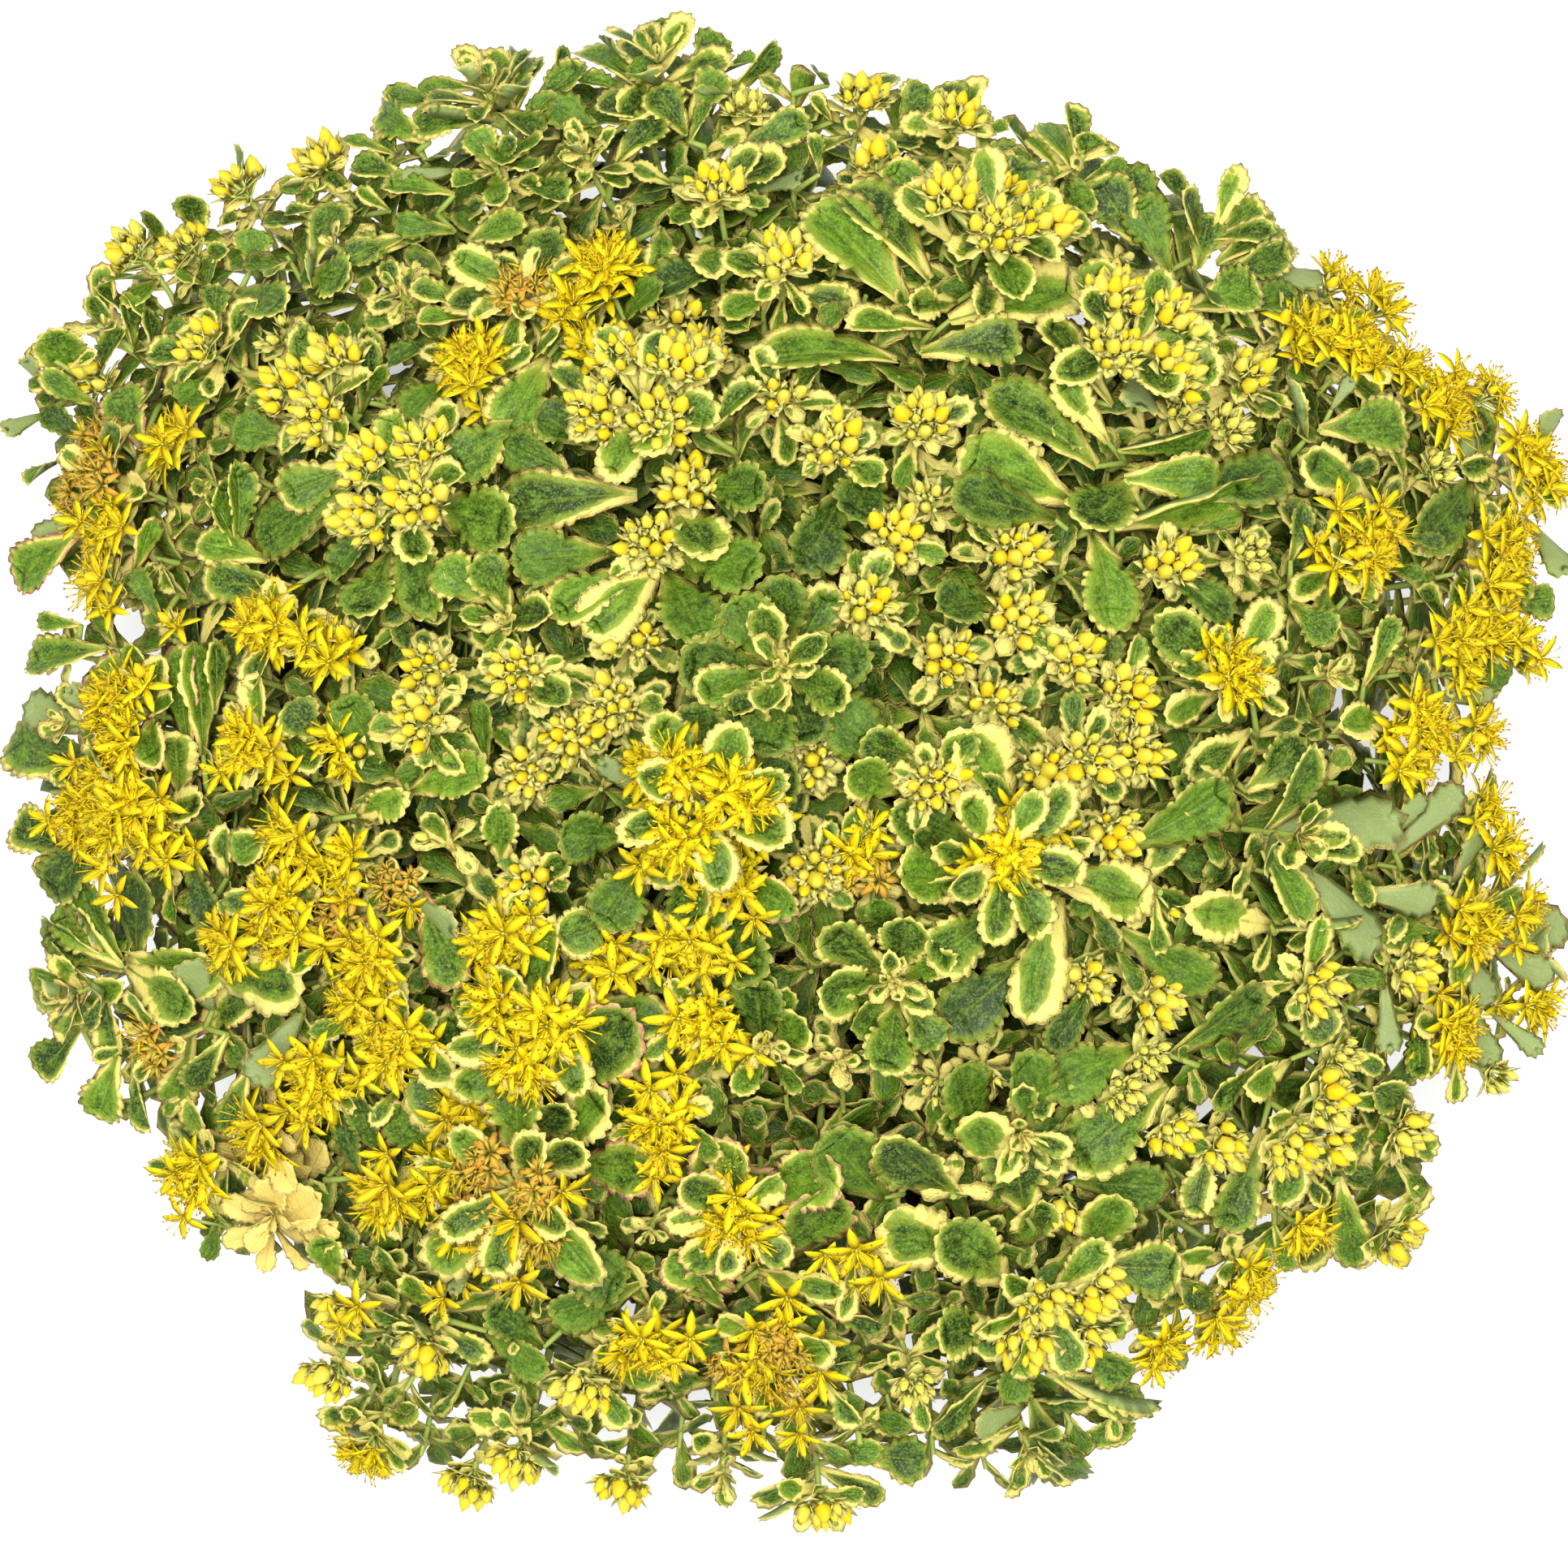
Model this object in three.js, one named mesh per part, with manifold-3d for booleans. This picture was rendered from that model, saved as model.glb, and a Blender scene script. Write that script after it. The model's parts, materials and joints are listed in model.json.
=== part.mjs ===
// A variegated stonecrop in bloom, in a black nursery pot. Millimetres, +Z up, origin at the centre of the
// pot's base. Clumps of leafy stems rise from holes in the soil, fork, splay out over the rim and end in
// rosettes or flower heads.
import * as THREE from "three";
import { mergeVertices } from "three/addons/utils/BufferGeometryUtils.js";
import Module from "manifold-3d";

const wasm = await Module();
wasm.setup();

// Pot: a thin-walled tapered nursery pot with a thick rolled rim and drain holes round the edge of its floor.
const POT = {
  height: 178,
  baseRadius: 84,
  neckRadius: 106,
  rimRadius: 111,
  rimDepth: 16,
  lipRound: 2,
  wall: 1.8,
  floor: 2.5,
  chamfer: 3,
  sides: 22,
  drains: 6,
  drainRadius: 6,
  drainRing: 62,
};

// Soil: a lumpy plug inside the pot, with one plain hole for each clump of stems.
const SOIL = { top: 160, mound: 5, lump: 1.6, rings: 3, holeDepth: 12, holeEase: 0.8 };

// The plant's dome: how high a shoot's tip stands and how many degrees it leans, by its distance from the
// middle in pixels. Shoots with longer leaves stand higher, and each is a little higher or lower by chance.
const DOME = {
  top: 280,
  edge: 197,
  fall: 0.8,
  reach: 960,
  lean: 78,
  leanPower: 1.4,
  riseByLeaf: 0.9,
  usualLeaf: 14,
  chance: 4,
};

// The view from straight above, which gives each shoot's place: millimetres to a pixel at the dome's middle
// height, how far away the eye is, and the pixels below the eye, over the pot's centre and over the dome's.
const VIEW = {
  mmPerPixel: 0.168,
  height: 230,
  distance: 1100,
  axis: [966, 966],
  pot: [950, 940],
  crown: [958, 955],
};

// Stems: side stems fork from the leading one. Each keeps its first and last direction for a share of its span.

const STEM = {
  leaderRadius: 2.8,
  sideRadius: 1.8,
  sides: 3,
  leaderSteps: 3,
  sideSteps: 2,
  baseShare: 0.42,
  baseReach: 66,
  leaderBow: 0.45,
  tipBow: 0.38,
};

// Leaves: width as a share of length, and the stretch of stem they stand on, in lengths of the shoot's leaf.
const LEAF = {
  width: 0.58,
  thickness: 2,
  cup: 0.12,
  droop: 0.14,
  turn: 137.508,
  belowHead: 1.8,
  longest: 31,
  shortening: 0.4,
  rosetteZone: 0.6,
  stemZone: 2.1,
};

// How leaves are set on a rosette and on a stem below a head: how far below the tip the last one is, the rise
// of the first one in degrees, and how much steeper the last one is.
const ROSETTE = { below: 0.8, rise: 14, steeper: 48 };
const ON_STEM = { below: 2.5, rise: 4, steeper: 30 };

// Flower heads: their spread, and how deep the foot of a fused one is sunk in its stem.
const HEAD = { spread: 5, spreadByLeaf: 0.42, sunk: 2 };

// The space kept between separate pieces.
const GAP = 0.35;

// The shortest edge that a join may leave.
const SLIVER = 0.02;

// What a shoot ends in.
const LEAFY = "leafy";
const BUD = "bud";
const FLOWER = "flower";
const SPENT = "spent";

// One row is one clump: its shoots, the leading one first, each with its tip's place in the view from above
// in pixels, what it ends in, and the length of its longest leaves in millimetres.
const CLUMPS = [
  [[963, 820, LEAFY, 23], [1065, 745, BUD, 12], [1005, 940, BUD, 10]],
  [[1025, 550, BUD, 14], [1135, 520, BUD, 12], [1100, 665, BUD, 11], [960, 480, BUD, 11]],
  [[790, 490, BUD, 25], [800, 670, BUD, 10], [830, 385, BUD, 9]],
  [[965, 325, BUD, 14], [885, 238, BUD, 14], [1060, 125, BUD, 12]],
  [[810, 75, LEAFY, 22], [720, 185, LEAFY, 15], [765, 268, LEAFY, 9]],
  [[600, 110, LEAFY, 22], [490, 360, LEAFY, 14], [400, 205, BUD, 11]],
  [[640, 360, SPENT, 17], [585, 455, FLOWER, 13], [745, 335, FLOWER, 11]],
  [[1220, 275, BUD, 26], [1175, 150, BUD, 14], [1335, 190, BUD, 13]],
  [[1500, 280, LEAFY, 24], [1380, 320, LEAFY, 10], [1590, 410, FLOWER, 10]],
  [[1400, 425, BUD, 27], [1535, 465, BUD, 12], [1440, 700, BUD, 10]],
  [[1770, 510, FLOWER, 13], [1660, 420, FLOWER, 14], [1875, 570, FLOWER, 13]],
  [[1675, 680, FLOWER, 14], [1850, 670, FLOWER, 14], [1820, 775, FLOWER, 14]],
  [[1520, 830, FLOWER, 17], [1640, 830, LEAFY, 14], [1745, 890, FLOWER, 14]],
  [[1255, 765, BUD, 13], [1385, 855, BUD, 12], [1340, 935, BUD, 12], [1250, 680, BUD, 10]],
  [[1600, 1030, LEAFY, 26], [1810, 1140, FLOWER, 15], [1890, 1170, LEAFY, 18], [1820, 1010, FLOWER, 11]],
  [[1240, 1055, FLOWER, 25], [1150, 965, BUD, 14], [1430, 1100, BUD, 13]],
  [[1615, 1215, BUD, 14], [1785, 1265, FLOWER, 13], [1725, 1390, BUD, 13]],
  [[1605, 1385, BUD, 18], [1715, 1520, BUD, 14], [1440, 1390, BUD, 11]],
  [[1300, 1610, BUD, 24], [1535, 1570, FLOWER, 13], [1260, 1400, LEAFY, 20], [1270, 1790, LEAFY, 20]],
  [[1100, 1210, LEAFY, 17], [1035, 1310, LEAFY, 12], [1005, 1075, BUD, 10]],
  [[865, 990, FLOWER, 27], [850, 1160, FLOWER, 11], [860, 1255, FLOWER, 12], [945, 1290, LEAFY, 15]],
  [[905, 1500, FLOWER, 22], [1055, 1560, FLOWER, 13], [945, 1670, SPENT, 18], [1010, 1850, BUD, 14]],
  [[825, 1380, FLOWER, 14], [790, 1650, FLOWER, 12], [725, 1705, BUD, 13], [890, 1820, LEAFY, 14]],
  [[630, 1470, SPENT, 27], [655, 1265, FLOWER, 22], [525, 1655, BUD, 13], [640, 1790, BUD, 12]],
  [[245, 1440, FLOWER, 13], [335, 1500, LEAFY, 16], [475, 1470, FLOWER, 11], [455, 1780, FLOWER, 13]],
  [[490, 1290, FLOWER, 15], [395, 1330, FLOWER, 13], [195, 1290, SPENT, 15]],
  [[160, 1000, FLOWER, 18], [90, 1225, LEAFY, 20], [345, 1110, FLOWER, 13]],
  [[620, 1160, FLOWER, 13], [650, 1090, BUD, 12], [460, 1180, FLOWER, 12]],
  [[310, 915, FLOWER, 15], [520, 890, BUD, 13], [335, 770, FLOWER, 15], [170, 880, FLOWER, 18]],
  [[640, 830, BUD, 14], [755, 870, BUD, 11], [622, 765, LEAFY, 12], [530, 825, BUD, 10]],
  [[400, 490, BUD, 19], [495, 605, BUD, 24], [255, 430, BUD, 15]],
  [[125, 585, SPENT, 18], [235, 310, BUD, 14], [120, 400, BUD, 14], [135, 660, FLOWER, 11]],
];

// How leafy and how crowded a shoot is, by the length of its leaves.
const SIZES = [
  { least: 20, leaves: 5, rosette: 7, edge: "toothed", buds: 6, stars: 3 },
  { least: 13, leaves: 3, rosette: 5, edge: "blunt", buds: 4, stars: 2 },
  { least: 0, leaves: 2, rosette: 4, edge: "pointed", buds: 3, stars: 1 },
];

// Half of each leaf's edge from its root to its tip, as shares of its length and of its width. A tooth stands
// out past the notch below it.
const EDGES = {
  toothed: [[0.5, 0.42], [0.62, 0.36], [0.76, 0.5]],
  blunt: [[0.5, 0.38], [0.8, 0.5]],
  pointed: [[0.64, 0.5]],
};

const COLOURS = {
  pot: new THREE.MeshStandardMaterial({ color: 0x17181a, roughness: 0.45, metalness: 0 }),
  soil: new THREE.MeshStandardMaterial({ color: 0x33261b, roughness: 0.95, metalness: 0 }),
  foliage: new THREE.MeshStandardMaterial({ color: 0x6f8f45, roughness: 0.55, metalness: 0 }),
  petals: new THREE.MeshStandardMaterial({ color: 0xf4d21c, roughness: 0.6, metalness: 0 }),
};

const UP = new THREE.Vector3(0, 0, 1);

// A repeatable draw from 0 to 1 for one shoot and one use.
function draw(seed, use) {
  const wave = Math.sin(seed * 12.9898 + use * 78.233) * 43758.5453;
  return wave - Math.floor(wave);
}

// A closed geometry as a solid.
function solidOf(geometry) {
  const bare = geometry.clone();
  bare.deleteAttribute("normal");
  bare.deleteAttribute("uv");
  const merged = mergeVertices(bare, 1e-4);
  const vertProperties = new Float32Array(merged.attributes.position.array);
  const triVerts = new Uint32Array(merged.index.array);
  return new wasm.Manifold(new wasm.Mesh({ numProp: 3, vertProperties, triVerts }));
}

// A solid's surface as a geometry.
function geometryOf(solid) {
  const mesh = solid.getMesh();
  const geometry = new THREE.BufferGeometry();
  geometry.setAttribute("position", new THREE.BufferAttribute(new Float32Array(mesh.vertProperties), 3));
  geometry.setIndex(new THREE.BufferAttribute(new Uint32Array(mesh.triVerts), 1));
  geometry.computeVertexNormals();
  return geometry;
}

// Whether a solid has no edge shorter than the shortest allowed.
function isTidy(solid) {
  const { vertProperties, triVerts } = solid.getMesh();
  const corner = (i) => new THREE.Vector3().fromArray(vertProperties, triVerts[i] * 3);
  for (let i = 0; i < triVerts.length; i += 3) {
    const [a, b, c] = [corner(i), corner(i + 1), corner(i + 2)];
    if (Math.min(a.distanceTo(b), b.distanceTo(c), c.distanceTo(a)) < SLIVER) return false;
  }
  return true;
}

// A lathe about +Z of a profile given as [radius, height] pairs.
function turned(profile, sides) {
  const points = profile.map(([radius, height]) => new THREE.Vector2(radius, height));
  return new THREE.LatheGeometry(points, sides).rotateX(Math.PI / 2);
}

function potSolid() {
  const { height, baseRadius, neckRadius, rimRadius, rimDepth, lipRound, wall, floor, chamfer, sides } = POT;
  const neck = height - rimDepth;
  const foot = [[0, 0], [baseRadius - chamfer, 0], [baseRadius, chamfer]];
  const outside = [...foot, [neckRadius, neck], [rimRadius, neck]];
  const lip = [[rimRadius, height - lipRound], [rimRadius - lipRound, height], [neckRadius - wall + 1, height]];
  const inside = [[neckRadius - wall, neck], [baseRadius - wall, floor], [0, floor]];
  let pot = solidOf(turned([...outside, ...lip, ...inside], sides));
  for (let i = 0; i < POT.drains; i++) {
    const drain = new THREE.CylinderGeometry(POT.drainRadius, POT.drainRadius, floor * 4, 8);
    drain.rotateX(Math.PI / 2);
    const angle = ((i + 0.5) / POT.drains) * Math.PI * 2;
    drain.translate(POT.drainRing * Math.cos(angle), POT.drainRing * Math.sin(angle), 0);
    pot = pot.subtract(solidOf(drain));
  }
  return pot;
}

// The pot's inner radius at a height.
function potInside(z) {
  const share = (z - POT.floor) / (POT.height - POT.rimDepth - POT.floor);
  return POT.baseRadius - POT.wall + (POT.neckRadius - POT.baseRadius) * Math.min(share, 1);
}

// The height of the soil's surface: a low mound with lumps.
function soilHeight(x, y) {
  const away = Math.hypot(x, y) / potInside(SOIL.top);
  const lumps = Math.sin(x * 0.13 + 1) * Math.cos(y * 0.11) + 0.6 * Math.sin(x * 0.29 - y * 0.23);
  return SOIL.top + SOIL.mound * (1 - away * away) + SOIL.lump * lumps * (1 - away);
}

function soilSolid() {
  const bottom = POT.floor + GAP;
  const edge = potInside(SOIL.top) * Math.cos(Math.PI / POT.sides) - GAP;
  const foot = potInside(bottom) * Math.cos(Math.PI / POT.sides) - GAP;
  const profile = [[0, bottom], [foot, bottom], [edge, SOIL.top]];
  for (let ring = SOIL.rings - 1; ring >= 0; ring--) profile.push([(edge * ring) / SOIL.rings, SOIL.top]);
  const geometry = turned(profile, POT.sides);
  const position = geometry.attributes.position;
  for (let i = 0; i < position.count; i++) {
    const [x, y, z] = [position.getX(i), position.getY(i), position.getZ(i)];
    if (z > SOIL.top - 1e-3 && Math.hypot(x, y) < edge - 1) position.setZ(i, soilHeight(x, y));
  }
  return solidOf(geometry);
}

// Where a shoot's tip stands and which way it points, from its place in the view from above.
function tipOf([px, py, , leaf], seed) {
  const away = Math.hypot(px - VIEW.crown[0], py - VIEW.crown[1]) / DOME.reach;
  const round = Math.max(1 - away * away, 0) ** DOME.fall;
  const lift = (leaf - DOME.usualLeaf) * DOME.riseByLeaf + DOME.chance * (draw(seed, 1) - 0.5);
  const z = DOME.edge + (DOME.top - DOME.edge) * round + lift * (1 - 0.6 * away);
  const scale = VIEW.mmPerPixel * (1 - (z - VIEW.height) / VIEW.distance);
  const x = (VIEW.axis[0] - VIEW.pot[0]) * VIEW.mmPerPixel + (px - VIEW.axis[0]) * scale;
  const y = (VIEW.pot[1] - VIEW.axis[1]) * VIEW.mmPerPixel + (VIEW.axis[1] - py) * scale;
  const lean = THREE.MathUtils.degToRad(DOME.lean * Math.min(away, 1) ** DOME.leanPower);
  const bearing = Math.atan2(VIEW.crown[1] - py, px - VIEW.crown[0]);
  const out = new THREE.Vector3(Math.cos(bearing), Math.sin(bearing), 0).multiplyScalar(Math.sin(lean));
  return { point: new THREE.Vector3(x, y, z), axis: out.addScaledVector(UP, Math.cos(lean)).normalize() };
}

// The hole in the soil that a clump grows from, under its leading shoot.
function baseOf(tip) {
  const flat = new THREE.Vector2(tip.point.x, tip.point.y).multiplyScalar(STEM.baseShare);
  return flat.clampLength(0, STEM.baseReach);
}

// A curved stem that leaves start along its own direction and meets the tip along the tip's.
function stemCurve(start, direction, tip, bow) {
  const span = start.distanceTo(tip.point);
  const first = start.clone().addScaledVector(direction, span * bow);
  const last = tip.point.clone().addScaledVector(tip.axis, -span * STEM.tipBow);
  return new THREE.CubicBezierCurve3(start, first, last, tip.point.clone());
}

// The same curve a little lower down.
function lowered(curve, drop) {
  const points = [curve.v0, curve.v1, curve.v2, curve.v3].map((point) => point.clone().setZ(point.z - drop));
  return new THREE.CubicBezierCurve3(...points);
}

// A tube with flat ends along a curve, in straight runs.
function tube(curve, radius, steps) {
  const { sides } = STEM;
  const section = new THREE.Shape();
  for (let i = 0; i < sides; i++) {
    const angle = (i / sides) * Math.PI * 2;
    const corner = [radius * Math.cos(angle), radius * Math.sin(angle)];
    if (i === 0) section.moveTo(...corner);
    else section.lineTo(...corner);
  }
  return solidOf(new THREE.ExtrudeGeometry(section, { steps, extrudePath: curve, bevelEnabled: false }));
}

// The point on a stem's straight runs that lies a distance back from its tip.
function pointBack(curve, steps, back) {
  const points = curve.getSpacedPoints(steps);
  let left = back;
  for (let i = steps; i > 0; i--) {
    const run = points[i].distanceTo(points[i - 1]);
    if (left <= run || i === 1) return points[i].clone().lerp(points[i - 1], Math.min(left / run, 1));
    left -= run;
  }
  return points[0];
}

// A leaf blade: a three-sided spindle pressed flat, with a keel below and two edges above, cupped across and
// drooping towards its tip. Its root is at the origin, it runs along +X and its upper face looks along +Z.
function blade(edge, length, grow) {
  const width = length * LEAF.width + grow * 4;
  const long = length + grow * 2;
  const rings = EDGES[edge].map(([along, across]) => new THREE.Vector2(across, along));
  const profile = [new THREE.Vector2(0, 0), ...rings, new THREE.Vector2(0, 1)];
  const geometry = new THREE.LatheGeometry(profile, 3, -Math.PI / 3);
  const position = geometry.attributes.position;
  for (let i = 0; i < position.count; i++) {
    const along = position.getY(i);
    const across = position.getX(i) / Math.sin(Math.PI / 3);
    const atEnd = Math.hypot(position.getX(i), position.getZ(i)) < 1e-6;
    const onKeel = Math.abs(across) < 1e-6;
    const lift = atEnd ? 0 : onKeel ? -LEAF.thickness - grow : grow;
    const bend = LEAF.cup * width * Math.abs(across) * 2 - LEAF.droop * length * along * along;
    position.setXYZ(i, along * long, -across * width, lift + bend);
  }
  return geometry;
}

// A leaf set on its stem: turned round the stem's axis, then raised by an angle from square to it.
function setLeaf(geometry, root, axis, turn, rise) {
  const side = new THREE.Vector3(1, 0, 0).cross(axis).normalize();
  const radial = side.clone().applyAxisAngle(axis, turn);
  const along = radial.multiplyScalar(Math.cos(rise)).addScaledVector(axis, Math.sin(rise)).normalize();
  const across = axis.clone().cross(along).normalize();
  const upper = along.clone().cross(across);
  return geometry.applyMatrix4(new THREE.Matrix4().makeBasis(along, across, upper).setPosition(root));
}

// Draws every second column of a turned shape in and down, so that its rims come to points.
function pointed(geometry, points, inward, down) {
  const position = geometry.attributes.position;
  for (let i = 0; i < position.count; i++) {
    const [x, y, z] = [position.getX(i), position.getY(i), position.getZ(i)];
    const column = Math.round((Math.atan2(x, -y) / Math.PI) * points + points * 2);
    if (Math.hypot(x, y) > 1e-6 && column % 2) position.setXYZ(i, x * inward, y * inward, z - down);
  }
  return geometry;
}

// An open flower on its short stalk: a shallow cone drawn in to five petals.
function star(radius, height, foot) {
  const profile = [[0, foot], [radius, height], [0, height * 1.08]];
  return pointed(turned(profile, 10), 5, 0.42, height * 0.12);
}

// A cluster of buds: an outer and an inner ring of tips on a flaring base.
function crown(radius, height, points, foot) {
  const profile = [[0, foot], [radius, height * 0.62], [radius * 0.55, height], [0, height * 0.75]];
  return pointed(turned(profile, points * 2), points, 0.68, height * 0.24);
}

// Flowers side by side: five petals round a raised middle of five more.
function posy(radius, height, foot) {
  const profile = [[0, foot], [radius, height * 0.8], [radius * 0.45, height * 0.8], [0, height * 1.1]];
  return pointed(turned(profile, 10), 5, 0.5, height * 0.1);
}

// The pieces of a flower head that stands on +Z with its foot at a height: a crown, or flowers that lean apart.
function headPieces(kind, size, spread, foot) {
  if (kind !== FLOWER) return [crown(spread, spread * (kind === SPENT ? 0.6 : 0.85), size.buds, foot)];
  if (size.stars === 1) return [star(spread * 0.95, spread * 0.62, foot)];
  if (size.stars === 2) return [posy(spread, spread * 0.7, foot)];
  return Array.from({ length: size.stars }, (_, i) => {
    const flower = star(spread * 0.8, spread * (0.62 + 0.1 * i), foot);
    return flower.rotateY(0.5).translate(0.7, 0, 0).rotateZ((i / size.stars) * Math.PI * 2);
  });
}

// Turns a geometry that stands on +Z so that it stands on a shoot's tip.
function onTip(geometry, tip) {
  const turn = new THREE.Quaternion().setFromUnitVectors(UP, tip.axis);
  return geometry.applyQuaternion(turn).translate(...tip.point);
}

const joined = (solids) => solids.reduce((whole, solid) => whole.add(solid));

// Everything placed so far, to keep what belongs to different nodes apart.
const placed = [];

function boxesMeet(a, b) {
  for (let i = 0; i < 3; i++) if (a.min[i] > b.max[i] || b.min[i] > a.max[i]) return false;
  return true;
}

// Whether a solid crosses nothing placed so far, apart from its own.
function isClear(solid, isOwn) {
  const box = solid.boundingBox();
  const near = placed.filter((other) => !isOwn(other) && boxesMeet(box, other.box));
  return near.every((other) => solid.intersect(other.solid).isEmpty());
}

function keep(solid, node, shoot) {
  placed.push({ solid, node, shoot, box: solid.boundingBox() });
}

const pad = (n) => String(n).padStart(2, "0");

// The shoots of every clump, with their tips and sizes.
const shoots = [];
CLUMPS.forEach((rows, index) => {
  rows.forEach((row, order) => {
    const seed = index * 10 + order;
    shoots.push({
      kind: row[2],
      leaf: row[3],
      size: SIZES.find((size) => row[3] >= size.least),
      tip: tipOf(row, seed),
      leads: order === 0,
      node: `leafy_stems_${pad(index + 1)}`,
      headNode: `flower_head_${pad(index + 1)}`,
      seed,
    });
  });
});

// Each clump's stems, side heads and leaves as one solid, which grows as they are joined on.
const wholes = new Map();
const withSolid = (node, solid) => (wholes.has(node) ? wholes.get(node).add(solid) : solid);
const joinsTidily = (node, solid) => isTidy(withSolid(node, solid));
function joinOn(node, solid, shoot) {
  wholes.set(node, withSolid(node, solid));
  keep(solid, node, shoot);
}

// The leading stem of each clump, from its hole in the soil to its tip. The hole follows the stem.
const pot = potSolid();
let soil = soilSolid();
keep(pot, "pot");
keep(soil, "soil");
for (const shoot of shoots.filter((s) => s.leads)) {
  const base = baseOf(shoot.tip);
  const foot = new THREE.Vector3(base.x, base.y, soilHeight(base.x, base.y) - SOIL.holeDepth);
  shoot.steps = STEM.leaderSteps;
  shoot.radius = STEM.leaderRadius;
  shoot.curve = stemCurve(foot, UP, shoot.tip, STEM.leaderBow);
  joinOn(shoot.node, tube(shoot.curve, shoot.radius, shoot.steps), shoot);
  soil = soil.subtract(tube(lowered(shoot.curve, GAP), shoot.radius + SOIL.holeEase, shoot.steps));
}

// The side stems, each forking from its leading stem where it finds a clear way. A choice is how far up the
// leading stem it forks and how much of its span it keeps that stem's direction.
const FORKS = [
  [0.5, 0.3], [0.6, 0.3], [0.4, 0.35], [0.65, 0.5], [0.5, 0.15], [0.7, 0.3],
  [0.35, 0.2], [0.55, 0.4], [0.45, 0.25], [0.75, 0.4], [0.62, 0.2], [0.3, 0.4],
];
for (const shoot of shoots.filter((s) => !s.leads)) {
  const leader = shoots.find((s) => s.leads && s.node === shoot.node);
  shoot.steps = STEM.sideSteps;
  shoot.radius = STEM.sideRadius;
  const own = (other) => other.node === shoot.node;
  const ways = FORKS.map(([share, bow]) => {
    const fork = pointBack(leader.curve, leader.steps, leader.curve.getLength() * (1 - share));
    return stemCurve(fork, leader.curve.getTangentAt(share), shoot.tip, bow);
  });
  const isFree = (way) => isClear(tube(way, shoot.radius + GAP * 2, shoot.steps), own);
  const isClean = (way) => joinsTidily(shoot.node, tube(way, shoot.radius, shoot.steps));
  shoot.curve = ways.find((way) => isFree(way) && isClean(way));
  joinOn(shoot.node, tube(shoot.curve, shoot.radius, shoot.steps), shoot);
}

// The flower heads: a piece of its own on a leading stem, fused to the stem on a side one. Each is made
// smaller, or turned, until it clears its neighbours.
const SHRINKS = [1, 0.92, 0.85, 0.78, 0.7, 0.63, 0.56, 0.5];
const HEAD_TURNS = [0, 0.15, 0.3, 0.4, 0.5];
for (const shoot of shoots.filter((s) => s.kind !== LEAFY)) {
  const node = shoot.leads ? shoot.headNode : shoot.node;
  const own = (other) => other.node === node;
  const headAt = (shrink, turn) => {
    const spread = (HEAD.spread + shoot.leaf * HEAD.spreadByLeaf) * shrink;
    const pieces = headPieces(shoot.kind, shoot.size, spread, shoot.leads ? GAP : -HEAD.sunk);
    return joined(pieces.map((piece) => solidOf(onTip(piece.rotateZ(turn), shoot.tip))));
  };
  const turn = draw(shoot.seed, 5) * 6;
  const choices = SHRINKS.flatMap((shrink) => HEAD_TURNS.map((aside) => headAt(shrink, turn + aside)));
  const head = choices.find((choice) => isClear(choice, own) && joinsTidily(node, choice));
  joinOn(node, head, shoot.leads ? null : shoot);
}

// The choices for a leaf that would cross something: how far it is raised, and the share of its length left.
const EASES = [
  [0, 1], [10, 1], [-10, 1], [20, 1], [-18, 1], [32, 0.95], [-26, 0.95], [45, 0.9],
  [0, 0.8], [15, 0.8], [30, 0.75], [-30, 0.75], [0, 0.66], [20, 0.66], [40, 0.6], [60, 0.6],
];

// And how far it is turned aside, in degrees.
const ASIDES = [0, 7, -7];

// A leaf of a shoot, by how far it is towards the tip.
function leafOf(shoot, i, share) {
  const leafy = shoot.kind === LEAFY;
  const set = leafy ? ROSETTE : ON_STEM;
  const zone = shoot.leaf * (leafy ? LEAF.rosetteZone : LEAF.stemZone);
  const longest = Math.min(shoot.leaf * (leafy ? 1 : LEAF.belowHead), LEAF.longest);
  return {
    shoot,
    root: pointBack(shoot.curve, shoot.steps, set.below + zone * (1 - share)),
    length: longest * (1 - LEAF.shortening * share),
    rise: set.rise + set.steeper * share + 8 * (draw(shoot.seed, 20 + i) - 0.5),
    turn: draw(shoot.seed, 2) * 360 + i * LEAF.turn,
  };
}

const radians = THREE.MathUtils.degToRad;
function leafSolid({ shoot, root, length, rise, turn }, [ease, shrink], aside, grow) {
  const geometry = blade(shoot.size.edge, length * shrink, grow);
  return solidOf(setLeaf(geometry, root, shoot.tip.axis, radians(turn + aside), radians(rise + ease)));
}

// The leaves, the longest first. Each takes the first choice in which it clears its neighbours.
const leaves = shoots.flatMap((shoot) => {
  const count = shoot.kind === LEAFY ? shoot.size.rosette : shoot.size.leaves;
  return Array.from({ length: count }, (_, i) => leafOf(shoot, i, i / (count - 1)));
});
leaves.sort((a, b) => b.length - a.length);
for (const leaf of leaves) {
  const own = (other) => other.shoot === leaf.shoot;
  const choices = EASES.flatMap((ease) => ASIDES.map((aside) => [ease, aside]));
  const choice = choices.find(([ease, aside]) => isClear(leafSolid(leaf, ease, aside, GAP / 2), own)
    && joinsTidily(leaf.shoot.node, leafSolid(leaf, ease, aside, 0)));
  if (choice) joinOn(leaf.shoot.node, leafSolid(leaf, ...choice, 0), leaf.shoot);
}

// One mesh for each solid. A loose scrap is dropped.
const plant = new THREE.Group();
function addNode(name, solid, material) {
  const [body] = solid.decompose().sort((a, b) => b.volume() - a.volume());
  const mesh = new THREE.Mesh(geometryOf(body), material);
  mesh.name = name;
  plant.add(mesh);
}

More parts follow.
